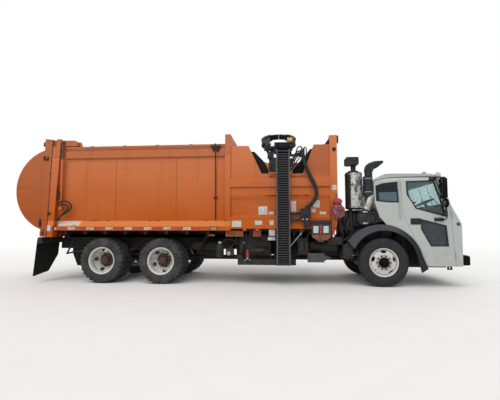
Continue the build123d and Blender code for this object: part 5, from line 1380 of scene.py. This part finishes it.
def notched(mesh, tool):
    """Take the tool's mesh away from the other."""
    shaped, cutter = (bpy.data.objects.new("temporary", data) for data in (mesh, tool))
    for item in (shaped, cutter):
        bpy.context.scene.collection.objects.link(item)
    step = shaped.modifiers.new("cut", "BOOLEAN")
    step.operation = "DIFFERENCE"
    step.solver = "EXACT"
    step.object = cutter
    result = bpy.data.meshes.new_from_object(shaped.evaluated_get(bpy.context.evaluated_depsgraph_get()))
    for item in (shaped, cutter):
        bpy.data.objects.remove(item)
    return result


def disc_with_holes(profile, middle, start, across, tall):
    """A wheel disc with five oblong hand holes; start is the first one's angle in degrees."""
    bm = bmesh.new()
    add_turned(bm, profile, Matrix.Identity(4), 60)
    bmesh.ops.recalc_face_normals(bm, faces=bm.faces)
    disc = meshed("disc", bm)
    bm = bmesh.new()
    for index in range(5):
        turn = Matrix.Rotation(math.radians(start + 72 * index), 4, "Z") @ Matrix.Translation((middle, 0.0, 0.0))
        bmesh.ops.create_cone(bm, cap_ends=True, segments=28, radius1=1.0, radius2=1.0, depth=1.0,
                              matrix=turn @ Matrix.Diagonal((tall / 2, across / 2, 0.8, 1.0)))
    return notched(disc, meshed("holes", bm))


def barrel(width, shift):
    """The rim's section as (radius, along the axle): rounded lips, bead seats and the well."""
    half = width / 2
    outer = ((0.3075, half), (0.31, half - 0.004), (0.3085, half - 0.01), (0.2905, half - 0.013),
             (0.29, half - 0.048), (0.28, half - 0.066))
    inner = ((0.27, half - 0.068), (0.2805, half - 0.046), (0.2815, half - 0.012), (0.296, half - 0.002))
    section = outer + tuple((r, -a) for r, a in reversed(outer)) + tuple((r, -a) for r, a in reversed(inner)) + inner
    return [(radius, away + shift) for radius, away in section]


def wheel(name, node, place, sections, discs, finish, body):
    """Rims and discs of one wheel or twin wheel as one piece, standing on its axle."""
    bm = bmesh.new()
    for section in sections:
        add_turned(bm, section, Matrix.Identity(4), 64)
    for disc in discs:
        bm.from_mesh(disc)
    bmesh.ops.transform(bm, matrix=place, verts=bm.verts)
    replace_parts(finished(name, bm, finish, body), node)


def rear_wheel(row, side):
    """The hub, two rims and two dished discs of a twin wheel."""
    meet = -TWIN_SPACING / 2
    hub = ((0.0455, meet - 0.06), (0.105, meet - 0.06), (0.105, meet + 0.014), (0.122, meet + 0.016),
           (0.122, meet + 0.03), (0.105, meet + 0.034), (0.104, meet + 0.06), (0.088, meet + 0.09),
           (0.088, meet + 0.15), (0.08, meet + 0.16), (0.0455, meet + 0.16))
    discs = []
    for way in (1, -1):
        profile = ((0.1, meet), (0.195, meet), (0.284, meet + 0.078 * way), (0.284, meet + 0.092 * way),
                   (0.191, meet + 0.014 * way), (0.1, meet + 0.014 * way))
        discs.append(disc_with_holes(profile, 0.236, {"rear": 104, "mid": 132}[row], 0.106, 0.076))
    wheel(f"twin_wheel_{row}_{side}", f"{row}_wheels_{side}", on_axle(REAR_AXLES[row], side, TWIN_OUTER, REAR_RADIUS),
          (hub, barrel(0.23, 0.0), barrel(0.23, -TWIN_SPACING)), discs, f"{row}_wheel", f"{row}_{side}")


def steer_wheel(side):
    """The hub, the rim and the dished disc of a steered wheel."""
    face = 0.105
    profile = ((0.08, face), (0.195, face), (0.25, face - 0.014), (0.284, face - 0.056), (0.284, face - 0.072),
               (0.244, face - 0.03), (0.189, face - 0.016), (0.08, face - 0.016))
    hub = ((0.0455, -0.02), (0.092, -0.02), (0.092, face + 0.02), (0.0455, face + 0.02))
    disc = disc_with_holes(profile, 0.229, 90, 0.122, 0.06)
    wheel(f"front_wheel_{side}", f"steer_wheel_{side}", on_axle(STEER_X, side, STEER_Y, STEER_RADIUS),
          (hub, barrel(0.25, 0.0)), [disc], "steer_wheel", f"steer_{side}")


def bag_shape(bm, middle, half, power, folds):
    """A stuffed cloth form: fuller below, gathered above, with folds running up to the gather."""
    ball = bmesh.ops.create_icosphere(bm, subdivisions=6, radius=1.0)["verts"]
    for vert in ball:
        way = vert.co.normalized()
        size = sum(abs(part) ** power for part in way) ** (-1.0 / power)
        form = way * size
        gather = max(0.0, form.z - 0.25) / 0.75
        narrow = (1.0 - 0.28 * gather ** 1.5) * (1.0 - 0.1 * max(0.0, form.z))
        turn = math.atan2(form.y, form.x)
        drift = noise.noise(form * 1.7) * 2.4
        crease = math.sin(folds * turn + drift) * (0.012 + 0.06 * gather)
        lump = noise.noise(form * 2.6 + Vector((3.0, 1.0, 2.0))) * 0.075 + noise.noise(form * 6.5) * 0.03
        swell = 1.0 + crease + lump
        vert.co = Vector((form.x * narrow * swell * half[0], form.y * narrow * swell * half[1],
                          form.z * (1.0 + lump * 0.6) * half[2])) + Vector(middle)
    return ball


def puffed(piece, cap, pinned):
    """Blow a closed cloth piece up a little; no point moves further than the cap, and the pinned ones stay."""
    start = [vert.co.copy() for vert in piece.data.vertices]
    held = piece.vertex_groups.new(name="held")
    held.add([vert.index for vert in piece.data.vertices if pinned(vert.co)], 1.0, "REPLACE")
    cloth = piece.modifiers.new("puff", "CLOTH")
    cloth.settings.vertex_group_mass = "held"
    cloth.settings.use_pressure = True
    cloth.settings.uniform_pressure_force = 4.0
    cloth.settings.effector_weights.gravity = 0.0
    cloth.collision_settings.use_collision = False
    for number in range(1, 21):
        bpy.context.scene.frame_set(number)
    puff = piece.evaluated_get(bpy.context.evaluated_depsgraph_get())
    ends = [vert.co.copy() for vert in puff.to_mesh().vertices]
    puff.to_mesh_clear()
    piece.modifiers.remove(cloth)
    piece.vertex_groups.clear()
    bpy.context.scene.frame_set(1)
    for vert, first, last in zip(piece.data.vertices, start, ends):
        step = last - first
        vert.co = first + step * min(1.0, cap / max(step.length, 1e-6))


def strapped_bag():
    """The mottled bag under its round red top, drawn in by a strap and hung from the post by a hook."""
    bm = bmesh.new()
    bag_shape(bm, (BAG_X, BAG_Y, 1.632), (0.15, 0.08, 0.158), 2.5, 11)
    bag = finished("cloth_bag", bm, "bag", crease=80)
    puffed(bag, 0.01, lambda place: place.z > 1.772 or abs(place.z - 1.64) < 0.006)
    bm = bmesh.new()
    bag_shape(bm, (2.41, -1.311, 1.842), (0.098, 0.074, 0.07), 2.3, 9)
    top = finished("cloth_bag_top", bm, "red_cloth", crease=80)
    puffed(top, 0.005, lambda place: place.z < 1.8)
    for piece in (bag, top):
        low, high = Vector((2.2535, -1.3995, 1.4585)), Vector((2.5725, -1.221, 1.9045))
        for vert in piece.data.vertices:
            vert.co = Vector([min(max(part, a), b) for part, a, b in zip(vert.co, low, high)])
    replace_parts(bag, "strapped_bag")
    bm = bmesh.new()
    for z, wide, deep in ((1.782, 0.086, 0.052), (1.642, 0.15, 0.083)):
        place = Matrix.Translation((BAG_X, BAG_Y, z)) @ Matrix.Diagonal((wide, deep, 1.0, 1.0))
        add_turned(bm, ((1.0, -0.006), (1.04, -0.006), (1.04, 0.006), (1.0, 0.006)), place, 48)
    finished("bag_straps", bm, "rubber")
    tube("bag_hook",
         [[(BAG_X, BAG_Y, 1.895), (2.41, -1.311, 1.96), (2.398, -1.285, 2.0), (2.392, -1.24, 1.995),
           (2.39, -1.2203, 1.985)]], 0.0065, "arm")


def dress_nodes():
    """The construction's own pieces keep their shapes and take the finishes."""
    worn = {
        "body": ("body_roof", "hopper_front", "packer_blade", "lift_barrels"), "gate": ("tailgate",),
        "hopper": ("hopper_side_right", "hopper_side_left"), "side": ("body_side_right", "body_side_left"),
        "cab": ("cab_back", "cab_roof", "cab_front"), "door": ("door_right", "door_left"),
        "chassis": ("chassis_frame", "body_floor", "front_axle", "rear_axles", "arm_base", "side_tanks", "cab_floor",
                    "knuckle_right", "knuckle_left"), "bumper": ("bumper",), "intake": ("air_intake",),
        "arm": ("reach_beam", "roll_head", "carriage", "finger_rear", "finger_front"), "mast": ("lift_mast",),
        "rod": ("lift_rods",), "soot": ("exhaust_stack",), "flap": ("mud_flaps", "notch_guards"),
        "fender": ("fenders",), "engine": ("engine_block",), "box": ("valve_boxes",), "cab_glass": ("cab_glass",),
        "door_glass": ("door_glass_right", "door_glass_left"), "fabric": ("cab_interior",),
        "amber_lens": ("body_lamps",), "red_lens": ("gate_lamps",),
    }
    for finish, nodes in worn.items():
        for node in nodes:
            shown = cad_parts[node]
            shown.data.materials.clear()
            shown.data.materials.append(FINISH[finish])


studio()
hose_bundle()
dress_nodes()
single_tyre = drive_tyre()
for side in SIDES:
    steer_tyre(side)
    steer_hub(side)
    for row in REAR_AXLES:
        rear_tyres(single_tyre, row, side)
        rear_hub(row, side)
tape_strips()
body_trim()
labels()
conduit()
tailgate_fittings()
for side, way in SIDES.items():
    cab_trim(side, way)
    steer_wheel(side)
    for row in REAR_AXLES:
        rear_wheel(row, side)
cab_front()
steering_wheels()
silencer_shield()
intake_details()
post_details()
lamp_boxes()
notch_strips()
mast_stay()
under_hopper()
tank_straps()
gate_details()
gripper_details()
head_details()
strapped_bag()
